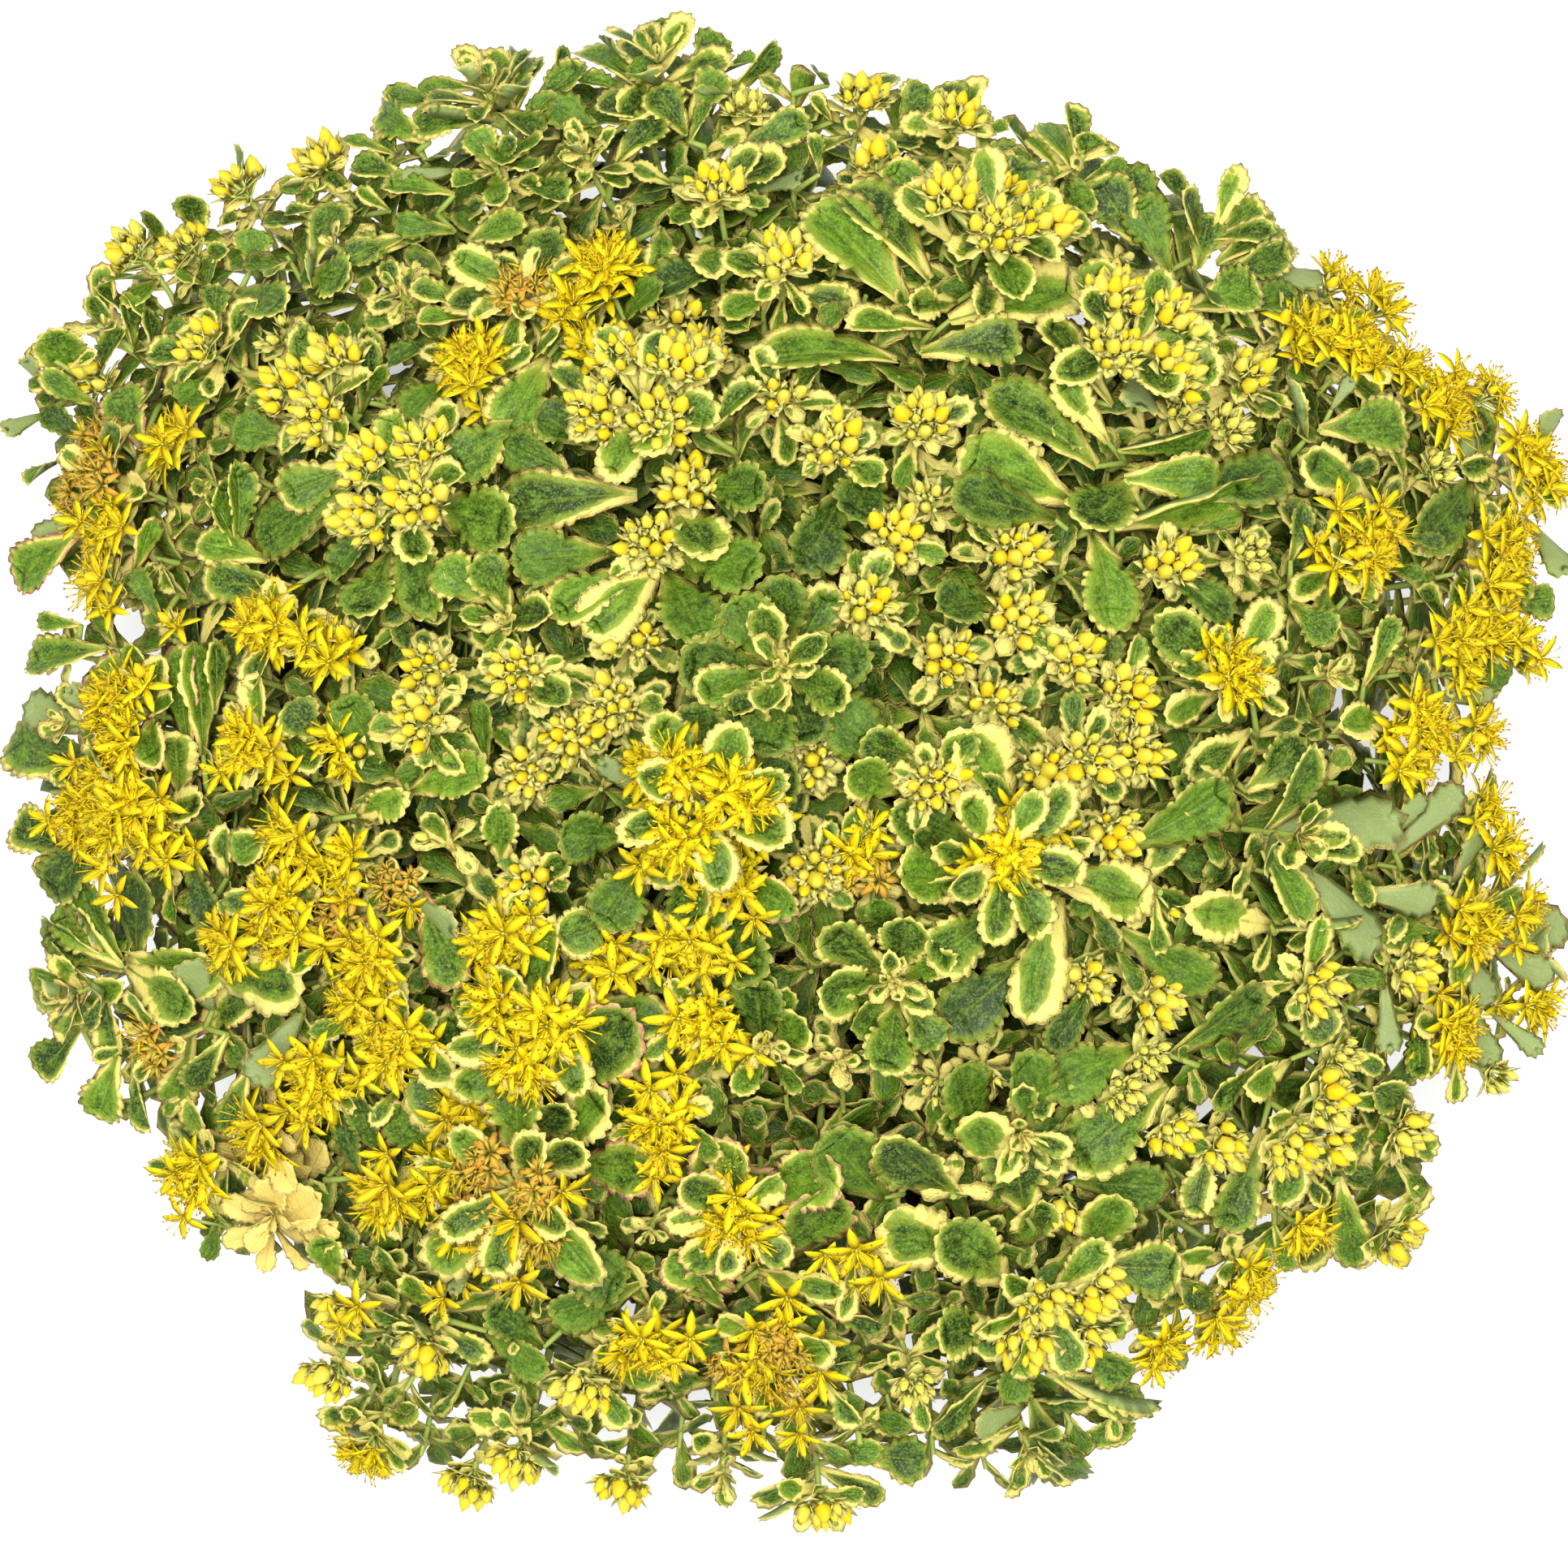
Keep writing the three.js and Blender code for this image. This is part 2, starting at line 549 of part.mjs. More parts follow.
addNode("pot", pot, COLOURS.pot);
addNode("soil", soil, COLOURS.soil);
for (const [node, whole] of wholes) {
  addNode(node, whole, node.startsWith("flower") ? COLOURS.petals : COLOURS.foliage);
}

export default plant;
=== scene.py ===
import json
import logging
import math
from dataclasses import dataclass, field
from enum import Enum
from typing import Any, Callable, Iterable, Iterator, Sequence

import bmesh
import bpy
import numpy as np
from mathutils import Matrix, Vector

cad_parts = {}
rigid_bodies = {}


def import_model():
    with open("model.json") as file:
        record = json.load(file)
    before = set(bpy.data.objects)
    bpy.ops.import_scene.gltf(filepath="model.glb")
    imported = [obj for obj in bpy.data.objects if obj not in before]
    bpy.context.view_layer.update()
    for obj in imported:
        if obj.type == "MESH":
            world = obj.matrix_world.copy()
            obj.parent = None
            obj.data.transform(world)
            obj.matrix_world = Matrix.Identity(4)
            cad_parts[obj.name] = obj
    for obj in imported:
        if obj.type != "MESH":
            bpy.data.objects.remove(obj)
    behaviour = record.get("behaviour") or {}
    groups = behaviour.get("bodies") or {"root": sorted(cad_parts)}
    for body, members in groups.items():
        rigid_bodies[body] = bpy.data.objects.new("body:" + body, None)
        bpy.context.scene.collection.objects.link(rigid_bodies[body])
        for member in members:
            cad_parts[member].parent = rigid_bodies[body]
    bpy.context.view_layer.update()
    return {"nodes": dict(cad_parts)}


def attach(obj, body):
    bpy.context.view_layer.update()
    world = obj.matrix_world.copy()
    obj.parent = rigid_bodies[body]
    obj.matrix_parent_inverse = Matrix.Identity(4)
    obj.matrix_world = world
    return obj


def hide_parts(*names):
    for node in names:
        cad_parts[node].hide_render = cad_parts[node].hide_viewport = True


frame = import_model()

MM = 0.001
GOLDEN_TURN = math.radians(137.508)
UP = Vector((0, 0, 1))

log = logging.getLogger("stonecrop")


def draw(seed: float, use: float) -> float:
    """A repeatable draw from 0 to 1 for one shoot and one use."""
    wave = math.sin(seed * 12.9898 + use * 78.233) * 43758.5453
    return wave - math.floor(wave)


def hue(code: int) -> tuple[float, float, float, float]:
    """A screen colour such as 0x6F8F45 as linear light with full alpha."""
    parts = [((code >> shift) & 255) / 255 for shift in (16, 8, 0)]
    line = [p / 12.92 if p <= 0.04045 else ((p + 0.055) / 1.055) ** 2.4 for p in parts]
    return (line[0], line[1], line[2], 1.0)


# Node graphs

@dataclass(frozen=True)
class Wire:
    """An output socket on which Python's operators add Math nodes."""

    graph: "Graph"
    socket: Any

    def math(self, operation: str, *others: Any) -> "Wire":
        """The result of a Math node on this value and others."""
        return self.graph.math(operation, self, *others)

    def out(self, name: str) -> "Wire":
        """Another output of the same node."""
        return Wire(self.graph, self.socket.node.outputs[name])

    def clamp(self) -> "Wire":
        """The value held between 0 and 1."""
        return self.math("MAXIMUM", 0.0).math("MINIMUM", 1.0)

    def rise(self, low: Any, high: Any) -> "Wire":
        """A smooth step from 0 at low to 1 at high."""
        return self.graph.add(
            "ShaderNodeMapRange",
            {"interpolation_type": "SMOOTHSTEP"},
            {"Value": self, "From Min": low, "From Max": high},
        )

    def __add__(self, other: Any) -> "Wire":
        """Sum."""
        return self.math("ADD", other)

    def __sub__(self, other: Any) -> "Wire":
        """Difference."""
        return self.math("SUBTRACT", other)

    def __mul__(self, other: Any) -> "Wire":
        """Product."""
        return self.math("MULTIPLY", other)

    def __truediv__(self, other: Any) -> "Wire":
        """Quotient."""
        return self.math("DIVIDE", other)

    def __pow__(self, other: Any) -> "Wire":
        """Power."""
        return self.math("POWER", other)

    def __abs__(self) -> "Wire":
        """Size without sign."""
        return self.math("ABSOLUTE")

    def __rsub__(self, other: Any) -> "Wire":
        """Difference from a number."""
        return self.graph.math("SUBTRACT", other, self)

    __radd__ = __add__
    __rmul__ = __mul__


class Graph:
    """Adds nodes to one node tree."""

    def __init__(self, tree: bpy.types.NodeTree) -> None:
        """Starts on an emptied tree."""
        self.tree = tree
        tree.nodes.clear()

    def add(self, kind: str, settings: dict | None = None, inputs: dict | None = None) -> Wire:
        """Adds a node.

        Args:
            kind: the node's type.
            settings: its properties, set first; "stops" fills a ramp with (place, colour) pairs.
            inputs: values or wires by socket name, identifier or index.

        Returns:
            Its first output in use.
        """
        node = self.tree.nodes.new(kind)
        for name, value in (settings or {}).items():
            if name == "stops":
                self.fill_ramp(node.color_ramp, value)
            else:
                setattr(node, name, value)
        for key, value in (inputs or {}).items():
            socket = self.find(node, key)
            if isinstance(value, Wire):
                self.tree.links.new(value.socket, socket)
            else:
                socket.default_value = value
        return Wire(self, next((s for s in node.outputs if s.enabled), None))

    @staticmethod
    def fill_ramp(ramp: bpy.types.ColorRamp, stops: Sequence[tuple]) -> None:
        """Replaces a ramp's stops."""
        while len(ramp.elements) > 1:
            ramp.elements.remove(ramp.elements[-1])
        ramp.elements[0].position, ramp.elements[0].color = stops[0]
        for place, colour in stops[1:]:
            ramp.elements.new(place).color = colour

    @staticmethod
    def find(node: bpy.types.Node, key: str | int) -> bpy.types.NodeSocket:
        """A node's input by index, identifier or name."""
        if isinstance(key, int):
            return node.inputs[key]
        for socket in node.inputs:
            if socket.identifier == key:
                return socket
        return next(s for s in node.inputs if s.name == key and s.enabled)

    def math(self, operation: str, *values: Any) -> Wire:
        """A Math node on up to three values."""
        return self.add("ShaderNodeMath", {"operation": operation}, dict(enumerate(values)))

    def vector(self, operation: str, *values: Any) -> Wire:
        """A Vector Math node."""
        return self.add("ShaderNodeVectorMath", {"operation": operation}, dict(enumerate(values)))

    def join(self, x: Any, y: Any, z: Any) -> Wire:
        """A vector from three values."""
        return self.add("ShaderNodeCombineXYZ", {}, {0: x, 1: y, 2: z})

    def split(self, vector: Wire) -> tuple[Wire, Wire, Wire]:
        """A vector's three values."""
        first = self.add("ShaderNodeSeparateXYZ", {}, {0: vector})
        return first, first.out("Y"), first.out("Z")

    def mix(self, share: Any, first: Any, second: Any) -> Wire:
        """A colour between two, by a share."""
        inputs = {"Factor_Float": share, "A_Color": first, "B_Color": second}
        return self.add("ShaderNodeMix", {"data_type": "RGBA"}, inputs)

    def attribute(self, name: str) -> Wire:
        """A stored attribute's vector; its Fac output holds a plain number."""
        return self.add("ShaderNodeAttribute", {"attribute_name": name}).out("Vector")

    def noise(self, vector: Wire, scale: float, detail: float = 2.0, roughness: float = 0.5) -> Wire:
        """A noise from 0 to 1."""
        inputs = {"Vector": vector, "Scale": scale, "Detail": detail, "Roughness": roughness}
        return self.add("ShaderNodeTexNoise", {}, inputs)

    def place(self) -> Wire:
        """Object coordinates, in metres."""
        return self.add("ShaderNodeTexCoord").out("Object")

    def bump(self, height: Wire, strength: float, distance: float) -> Wire:
        """A normal bent by a height."""
        return self.add("ShaderNodeBump", {}, {"Height": height, "Strength": strength, "Distance": distance})


# Finishes

class Finish:
    """A finish that can be made a material."""

    name = "finish"

    def shade(self, graph: Graph) -> Wire:
        """The shader that the finish ends in."""
        raise NotImplementedError

    def material(self) -> bpy.types.Material:
        """The finish as a material."""
        made = bpy.data.materials.new(self.name)
        made.use_nodes = True
        graph = Graph(made.node_tree)
        graph.add("ShaderNodeOutputMaterial", {}, {"Surface": self.shade(graph)})
        return made


@dataclass(frozen=True)
class LeafFinish(Finish):
    """Fleshy leaves: dark mottled green, a light green band and an uneven cream margin, with pale patches that are
    partly waxy bloom and partly painted sheen, and painted shade on deep-set leaves.
    """

    name: str = "variegated_leaf"
    dark: tuple = hue(0x1E3604)
    green: tuple = hue(0x628A14)
    band: tuple = hue(0x98A634)
    # Pale grey-green: partly the leaves' waxy bloom, partly a painted sheen.
    bloom: tuple = hue(0xA2B856)
    cream: tuple = hue(0xDECC54)
    pale: tuple = hue(0xE2D698)
    pink: tuple = hue(0xD08070)
    apricot: tuple = hue(0xE8C066)
    under: tuple = hue(0x8E9C62)
    # The deep green that painted shade darkens deep-set leaves towards.
    deep: tuple = hue(0x283E0C)

    def shade(self, graph: Graph) -> Wire:
        """The leaf shader."""
        across, along, margin = graph.split(graph.attribute("blade"))
        seed, cream, pink = graph.split(graph.attribute("nature"))
        under = graph.attribute("under").out("Fac")
        # Per leaf, 0 on the topmost leaves and 1 on the deepest: it paints shade on deep-set leaves, narrows their
        # cream margins and turns their rims green.
        age = graph.attribute("age").out("Fac")
        place = graph.place()
        own = graph.join(across + seed * 31.0, along * 2.4 + seed * 17.0, seed * 7.0)
        coarse = graph.noise(own, 0.9, 0.0)
        ragged = graph.noise(own, 7.0, 3.0)
        grain = graph.noise(place, 1900.0, 2.0)
        mottle = graph.noise(place, 300.0, 2.0)
        streaks = graph.noise(graph.join(across * 3.0, along * 2.6, seed * 9.0), 2.2, 1.0)
        width = cream * (1 - age * 0.4) * (((coarse - 0.5) * 3.2 + 0.45).clamp() * 1.3 + 0.55)
        vein = graph.math("SINE", along * 42.0 - abs(across) * 10.0 + ragged * 4.0).rise(0.4, 1.0)
        edge = margin + (ragged - 0.5) * 0.04
        core = graph.mix((mottle * 1.1 + streaks * 1.0 + grain * 0.7 + seed * 0.7 - 1.42).clamp(), self.dark, self.green)
        # Pale grey-green patches along streaks and veins: partly waxy bloom, partly painted sheen.
        core = graph.mix(((streaks * 0.6 + mottle * 0.4 - 0.5) * 2.6).clamp() * 0.26 + vein * 0.08, core, self.bloom)
        rib = 1 - abs(across).rise(0.02, 0.11)
        core = graph.mix(rib * (1 - along) * 0.45, core, self.band)
        core = graph.mix((1 - edge.rise(width + 0.0, width + 0.09)) * 0.7, core, self.band)
        rim = graph.mix((grain * 0.6 + ragged * 0.8 - 0.38).clamp(), self.cream, self.pale)
        # Painted shade: rims of deep-set leaves turn towards the band's green.
        rim = graph.mix((age - 0.25).clamp() * 0.8, rim, self.band)
        rim = graph.mix(cream.rise(0.4, 0.9) * (0.2 + ragged * 0.5), rim, self.apricot)
        skin = graph.mix(1 - edge.rise(width - 0.014, width + 0.014), core, rim)
        flush = (1 - margin.rise(0.01, 0.06)) * pink * ragged.rise(0.36, 0.52)
        skin = graph.mix(flush, skin, self.pink)
        skin = graph.mix(under.rise(0.1, 0.5) * 0.85, skin, self.under)
        # Painted shade: deep-set leaves darken towards the deep green.
        skin = graph.mix(age * 0.42, skin, self.deep)
        # Fine pale speckle, fainter on deep-set leaves as part of the painted shade.
        speck = graph.mix(((grain - 0.5) * 4.0).clamp() * (0.38 - age * 0.28), skin, self.bloom)
        lines = (rib * 0.7 + vein * 0.15) * (1 - under)
        height = grain * 0.5 + mottle * 0.5 + streaks * 0.4 - lines
        inputs = {
            "Base Color": speck,
            "Roughness": 0.4 + 0.2 * mottle,
            "Specular IOR Level": 0.24,
            "Normal": graph.bump(height, 0.6, 0.0005),
        }
        return graph.add("ShaderNodeBsdfPrincipled", {}, inputs)


@dataclass(frozen=True)
class StemFinish(Finish):
    """Light green stems that turn brown and woody near the soil."""

    name: str = "green_stem"
    fresh: tuple = hue(0xA9B850)
    dark: tuple = hue(0x7E9438)
    wood: tuple = hue(0x6B5238)
    wood_below: float = 0.15
    green_above: float = 0.195

    def shade(self, graph: Graph) -> Wire:
        """The stem shader."""
        place = graph.place()
        height = graph.split(place)[2]
        long = graph.noise(graph.vector("MULTIPLY", place, (900.0, 900.0, 120.0)), 1.0, 3.0)
        patch = graph.noise(place, 160.0, 2.0)
        skin = graph.mix((long * 0.7 + patch * 0.6 - 0.2).clamp(), self.fresh, self.dark)
        skin = graph.mix(1 - (height + patch * 0.02).rise(self.wood_below, self.green_above), skin, self.wood)
        inputs = {
            "Base Color": skin,
            "Roughness": 0.45 + 0.2 * patch,
            "Normal": graph.bump(long, 0.4, 0.0004),
        }
        return graph.add("ShaderNodeBsdfPrincipled", {}, inputs)


class Part(Enum):
    """What each corner of a flower shape belongs to."""

    PETAL = 0
    SEPAL = 1
    FILAMENT = 2
    ANTHER = 3
    CARPEL = 4
    STALK = 5
    BUD = 6
    WITHERED = 7
    POD = 8


@dataclass(frozen=True)
class FlowerFinish(Finish):
    """Flowers and buds: each part's colour runs from its foot to its tip, and ripens and fades; a painted shade runs
    along each petal's crease.
    """

    name: str = "yellow_flower"
    petal: tuple = (hue(0xD8BE08), hue(0xE6D40E))
    sepal: tuple = (hue(0xA8B046), hue(0xDCD07A))
    filament: tuple = (hue(0xDAC20C), hue(0xE6D422))
    anther: tuple = (hue(0xC07A12), hue(0x8A4A12))
    carpel: tuple = (hue(0xE2DA34), hue(0xF0CE20))
    stalk: tuple = (hue(0xA9BC5C), hue(0xC2CC70))
    bud: tuple = (hue(0xB2B636), hue(0xDED450))
    withered: tuple = (hue(0xD8B83C), hue(0xBC8430))
    pod: tuple = (hue(0xB4B44A), hue(0xD2B03C))
    # The ripe buds' deeper yellow, also used as painted shade along the petals' creases.
    ripe: tuple = hue(0xE2C20E)
    young: tuple = hue(0xD6D062)
    rust: tuple = hue(0xB4782C)

    def ends(self, graph: Graph, part: Wire) -> tuple[Wire, Wire]:
        """The foot and tip colours of the part that a corner belongs to."""
        pairs = [getattr(self, kind.name.lower()) for kind in Part]
        steps = len(pairs)
        made = []
        for end in (0, 1):
            stops = [(max(i / steps - 0.02, 0.0), pair[end]) for i, pair in enumerate(pairs)]
            made.append(graph.add("ShaderNodeValToRGB", {"stops": stops}, {"Fac": part / steps}))
            made[-1].socket.node.color_ramp.interpolation = "CONSTANT"
        return made[0], made[1]

    def shade(self, graph: Graph) -> Wire:
        """The flower shader."""
        part, along, across = graph.split(graph.attribute("bloom"))
        seed, ripe, fade = graph.split(graph.attribute("nature"))
        place = graph.place()
        patch = graph.noise(place, 330.0, 2.0)
        fine = graph.noise(place, 1700.0, 3.0)
        foot, tip = self.ends(graph, part)
        skin = graph.mix((along + (patch - 0.5) * 0.4).clamp(), foot, tip)
        is_bud = 1 - abs(part - Part.BUD.value).rise(0.2, 0.4)
        skin = graph.mix(is_bud * (1 - ripe) * 0.8, skin, self.young)
        skin = graph.mix(is_bud * ripe, skin, self.ripe)
        skin = graph.mix((fade * (patch * 1.6 + fine * 0.5 - 0.35)).clamp() * (1 - is_bud), skin, self.rust)
        # Painted shade: along each petal's middle crease, and on alternate bud ribs, the colour goes towards the
        # deeper yellow; the same mask also cuts a groove in the bump.
        crease = 1 - abs(across).rise(0.0, 0.3)
        skin = graph.mix(crease * 0.2, skin, self.ripe)
        inputs = {
            "Base Color": skin,
            "Roughness": 0.5 + 0.2 * patch,
            "Specular IOR Level": 0.22,
            "Normal": graph.bump(fine + crease * -0.5, 0.3, 0.0003),
        }
        return graph.add("ShaderNodeBsdfPrincipled", {}, inputs)


@dataclass(frozen=True)
class PotFinish(Finish):
    """Glossy black moulded plastic with scuffs and a little dust near its foot."""

    name: str = "black_pot_plastic"
    black: tuple = hue(0x17181A)
    worn: tuple = hue(0x34363A)
    dust: tuple = hue(0x5A4E40)

    def shade(self, graph: Graph) -> Wire:
        """The pot shader."""
        place = graph.place()
        height = graph.split(place)[2]
        scuffs = graph.noise(graph.vector("MULTIPLY", place, (140.0, 140.0, 900.0)), 1.0, 4.0, 0.65)
        cloud = graph.noise(place, 26.0, 3.0)
        grain = graph.noise(place, 2600.0, 1.0)
        skin = graph.mix(scuffs.rise(0.58, 0.75) * 0.6, self.black, self.worn)
        skin = graph.mix((1 - height.rise(0.0, 0.05)) * cloud.rise(0.4, 0.7) * 0.5, skin, self.dust)
        inputs = {
            "Base Color": skin,
            "Roughness": 0.22 + 0.25 * scuffs + 0.12 * cloud,
            "Specular IOR Level": 0.5,
            "Normal": graph.bump(grain * 0.4 + scuffs, 0.15, 0.0004),
        }
        return graph.add("ShaderNodeBsdfPrincipled", {}, inputs)


@dataclass(frozen=True)
class SoilFinish(Finish):
    """Dark peaty potting soil."""

    name: str = "potting_soil"
    dark: tuple = hue(0x1E1610)
    brown: tuple = hue(0x4A3726)
    fibre: tuple = hue(0x7A6044)
    rough: float = 0.95

    def shade(self, graph: Graph) -> Wire:
        """The soil shader."""
        place = graph.place()
        crumb = graph.noise(place, 380.0, 4.0, 0.65)
        clod = graph.noise(place, 90.0, 3.0)
        fibres = graph.noise(graph.vector("MULTIPLY", place, (300.0, 1600.0, 900.0)), 1.0, 2.0)
        skin = graph.mix(crumb.rise(0.3, 0.7), self.dark, self.brown)
        skin = graph.mix(fibres.rise(0.62, 0.72) * 0.7, skin, self.fibre)
        inputs = {
            "Base Color": skin,
            "Roughness": self.rough - 0.15 * crumb,
            "Normal": graph.bump(crumb + clod, 0.9, 0.0015),
        }
        return graph.add("ShaderNodeBsdfPrincipled", {}, inputs)


@dataclass(frozen=True)
class GrainFinish(Finish):
    """Bark chips and white perlite, told apart by each grain's own number."""

    name: str = "bark_and_perlite"
    bark: tuple = hue(0x5C4430)
    tan: tuple = hue(0x8A6B4A)
    perlite: tuple = hue(0xDAD6CC)

    def shade(self, graph: Graph) -> Wire:
        """The grain shader."""
        seed, white, _ = graph.split(graph.attribute("nature"))
        crumb = graph.noise(graph.place(), 900.0, 3.0)
        skin = graph.mix((crumb + seed * 0.5 - 0.2).clamp(), self.bark, self.tan)
        skin = graph.mix(white.rise(0.4, 0.6), skin, self.perlite)
        inputs = {"Base Color": skin, "Roughness": 0.8 + 0.15 * crumb, "Normal": graph.bump(crumb, 0.6, 0.0006)}
        return graph.add("ShaderNodeBsdfPrincipled", {}, inputs)


@dataclass(frozen=True)
class FloorFinish(Finish):
    """A plain pale floor."""

    name: str = "pale_floor"
    paper: tuple = hue(0xF7F7F5)
    warm: tuple = hue(0xF2F2EF)

    def shade(self, graph: Graph) -> Wire:
        """The floor shader."""
        skin = graph.mix(graph.noise(graph.place(), 3.0, 2.0), self.paper, self.warm)
        return graph.add("ShaderNodeBsdfPrincipled", {}, {"Base Color": skin, "Roughness": 0.9})


# Small shapes that are set many times

class Shell:
    """Gathers the corners and faces of one closed small shape, with a value at each corner."""

    def __init__(self, attribute: str) -> None:
        """Starts an empty shape whose corner values go to one attribute."""
        self.attribute = attribute
        self.points: list[Vector] = []
        self.values: list[tuple] = []
        self.under: list[float] = []
        self.faces: list[tuple[int, ...]] = []

    def corner(self, place: Sequence[float], value: Sequence[float], under: float = 0.0) -> int:
        """Adds a corner and returns its number."""
        self.points.append(Vector(place))
        self.values.append(tuple(value))
        self.under.append(under)
        return len(self.points) - 1

    def face(self, *corners: int) -> None:
        """Adds a face."""
        self.faces.append(corners)

    def object(self, name: str) -> bpy.types.Object:
        """The shape as an object that isn't linked to the scene, its faces outward and smooth."""
        mesh = bpy.data.meshes.new(name)
        mesh.from_pydata([tuple(p) for p in self.points], [], self.faces)
        work = bmesh.new()
        work.from_mesh(mesh)
        bmesh.ops.recalc_face_normals(work, faces=work.faces)
        work.to_mesh(mesh)
        work.free()
        mesh.polygons.foreach_set("use_smooth", [True] * len(mesh.polygons))
        store(mesh, self.attribute, "FLOAT_VECTOR", "vector", self.values)
        store(mesh, "under", "FLOAT", "value", self.under)
        return bpy.data.objects.new(name, mesh)


def store(mesh: bpy.types.Mesh, name: str, kind: str, part: str, values: Iterable) -> None:
    """Writes one value for each corner of a mesh to an attribute."""
    held = mesh.attributes.new(name, kind, "POINT")
    held.data.foreach_set(part, np.array(list(values), np.float32).ravel())


@dataclass(frozen=True)
class LeafShape:
    """A spoon-shaped leaf one unit long: it runs along +Y and its upper face looks along +Z."""

    teeth: float = 4.5
    samples: int = 2
    stalk: tuple = (0.0, 0.26)
    width: float = 0.3
    widest: float = 0.66
    foot: float = 0.045
    notch: float = 0.035
    fold: float = 0.25
    cup: float = 0.1
    droop: float = 0.16
    wave: float = 0.02
    thick: float = 0.055
    ring: float = 0.075
    seed: float = 0.0
    toothed_from: float = 0.44
    behind: float = 0.0

    def half_width(self, along: float) -> float:
        """Half the leaf's width: a stalk that swells into a broad blade with a blunt tip."""
        if along < self.widest:
            share = along / self.widest
            return self.foot + (self.width - self.foot) * (share * share * (3 - 2 * share)) ** 0.85
        share = (along - self.widest) / (1 - self.widest)
        return self.width * max(1 - share ** 2.4, 0) ** 0.52

    def outline(self) -> list[tuple[float, float, float]]:
        """Half the edge, from the root to just before the tip, as (across, along, how deep the notch is)."""
        points = [(self.half_width(y), y, 0.0) for y in self.stalk]
        track = [(self.half_width(y), y) for y in
                 [self.toothed_from + (1 - self.toothed_from) * math.sin(i / 80 * math.pi / 2) for i in range(81)]]
        runs = [0.0]
        for (ax, ay), (bx, by) in zip(track, track[1:]):
            runs.append(runs[-1] + math.hypot(bx - ax, by - ay))
        for i in range(int(self.teeth * self.samples)):
            phase = i / self.samples
            run = runs[-1] * phase / self.teeth
            k = next(k for k in range(80) if runs[k + 1] >= run)
            x, y = track[k]
            inset = self.notch * (1 - abs(math.sin(math.pi * phase))) ** 1.4
            inset *= 0.7 + 0.6 * draw(self.seed, 3 + i // self.samples)
            inward = Vector((-x, 0.5 - y)).normalized() * inset
            points.append((x + inward.x, y + inward.y, inset))
        return points

    def height(self, across: float, along: float) -> float:
        """The upper face's height: folded at the rib, cupped, wavy and drooping."""
        side = abs(across)
        wave = self.wave * math.sin(along * 17 + self.seed * 5 + (2 if across > 0 else 0)) * side / self.width
        return self.fold * side + self.cup * side * side / self.width - self.droop * along * along + wave

    def shell(self, ringed: bool = True) -> Shell:
        """The closed leaf: an upper face with a ring inside its edge and a keeled lower face.

        Args:
            ringed: whether the upper face has the inner ring, which small leaves do without.

        Returns:
            The shape, with (across, along, distance from the edge) at each corner.
        """
        made = Shell("blade")
        half = self.outline()
        rows = []
        for x, y, depth in half:
            mid = (0.0, y * (1 - 0.1 * y))
            gap = math.hypot(x, y - mid[1])
            belly = 0.35 * self.thick * math.sin(math.pi * min(y + 0.05, 1))
            row = {}
            for name, sign in (("right", 1), ("left", -1)):
                row[name] = made.corner((sign * x, y, self.height(sign * x, y)), (sign, y, depth))
                if ringed:
                    share = min(self.ring / gap, 0.5)
                    qx, qy = sign * x * (1 - share), y + (mid[1] - y) * share
                    row["in_" + name] = made.corner(
                        (qx, qy, self.height(qx, qy) + belly), (sign * (1 - share), qy, depth + gap * share),
                        self.behind)
            row["mid"] = made.corner((0, mid[1], self.height(0, mid[1]) + belly * 0.4), (0, y, gap), self.behind)
            keel = self.height(0, mid[1]) - self.thick * (0.35 + 0.65 * math.sin(math.pi * min(y + 0.12, 1)))
            row["keel"] = made.corner((0, mid[1], keel), (0, y, gap), 1.0)
            rows.append(row)
        tip = made.corner((0, 1, self.height(0, 1)), (0, 1, 0))
        inner = 1 - self.ring
        in_tip = made.corner((0, inner, self.height(0, inner) + 0.01), (0, inner, self.ring), self.behind) if ringed else tip
        for low, high in zip(rows, rows[1:]):
            for side in ("right", "left"):
                if ringed:
                    made.face(low[side], high[side], high["in_" + side], low["in_" + side])
                    made.face(low["in_" + side], high["in_" + side], high["mid"], low["mid"])
                else:
                    made.face(low[side], high[side], high["mid"], low["mid"])
                made.face(low[side], low["keel"], high["keel"], high[side])
        last, first = rows[-1], rows[0]
        for side in ("right", "left"):
            if ringed:
                made.face(last[side], tip, in_tip, last["in_" + side])
                made.face(last["in_" + side], in_tip, last["mid"])
                made.face(first[side], first["in_" + side], first["mid"], first["keel"])
            else:
                made.face(last[side], tip, last["mid"])
                made.face(first[side], first["mid"], first["keel"])
            made.face(last[side], last["keel"], tip)
        return made


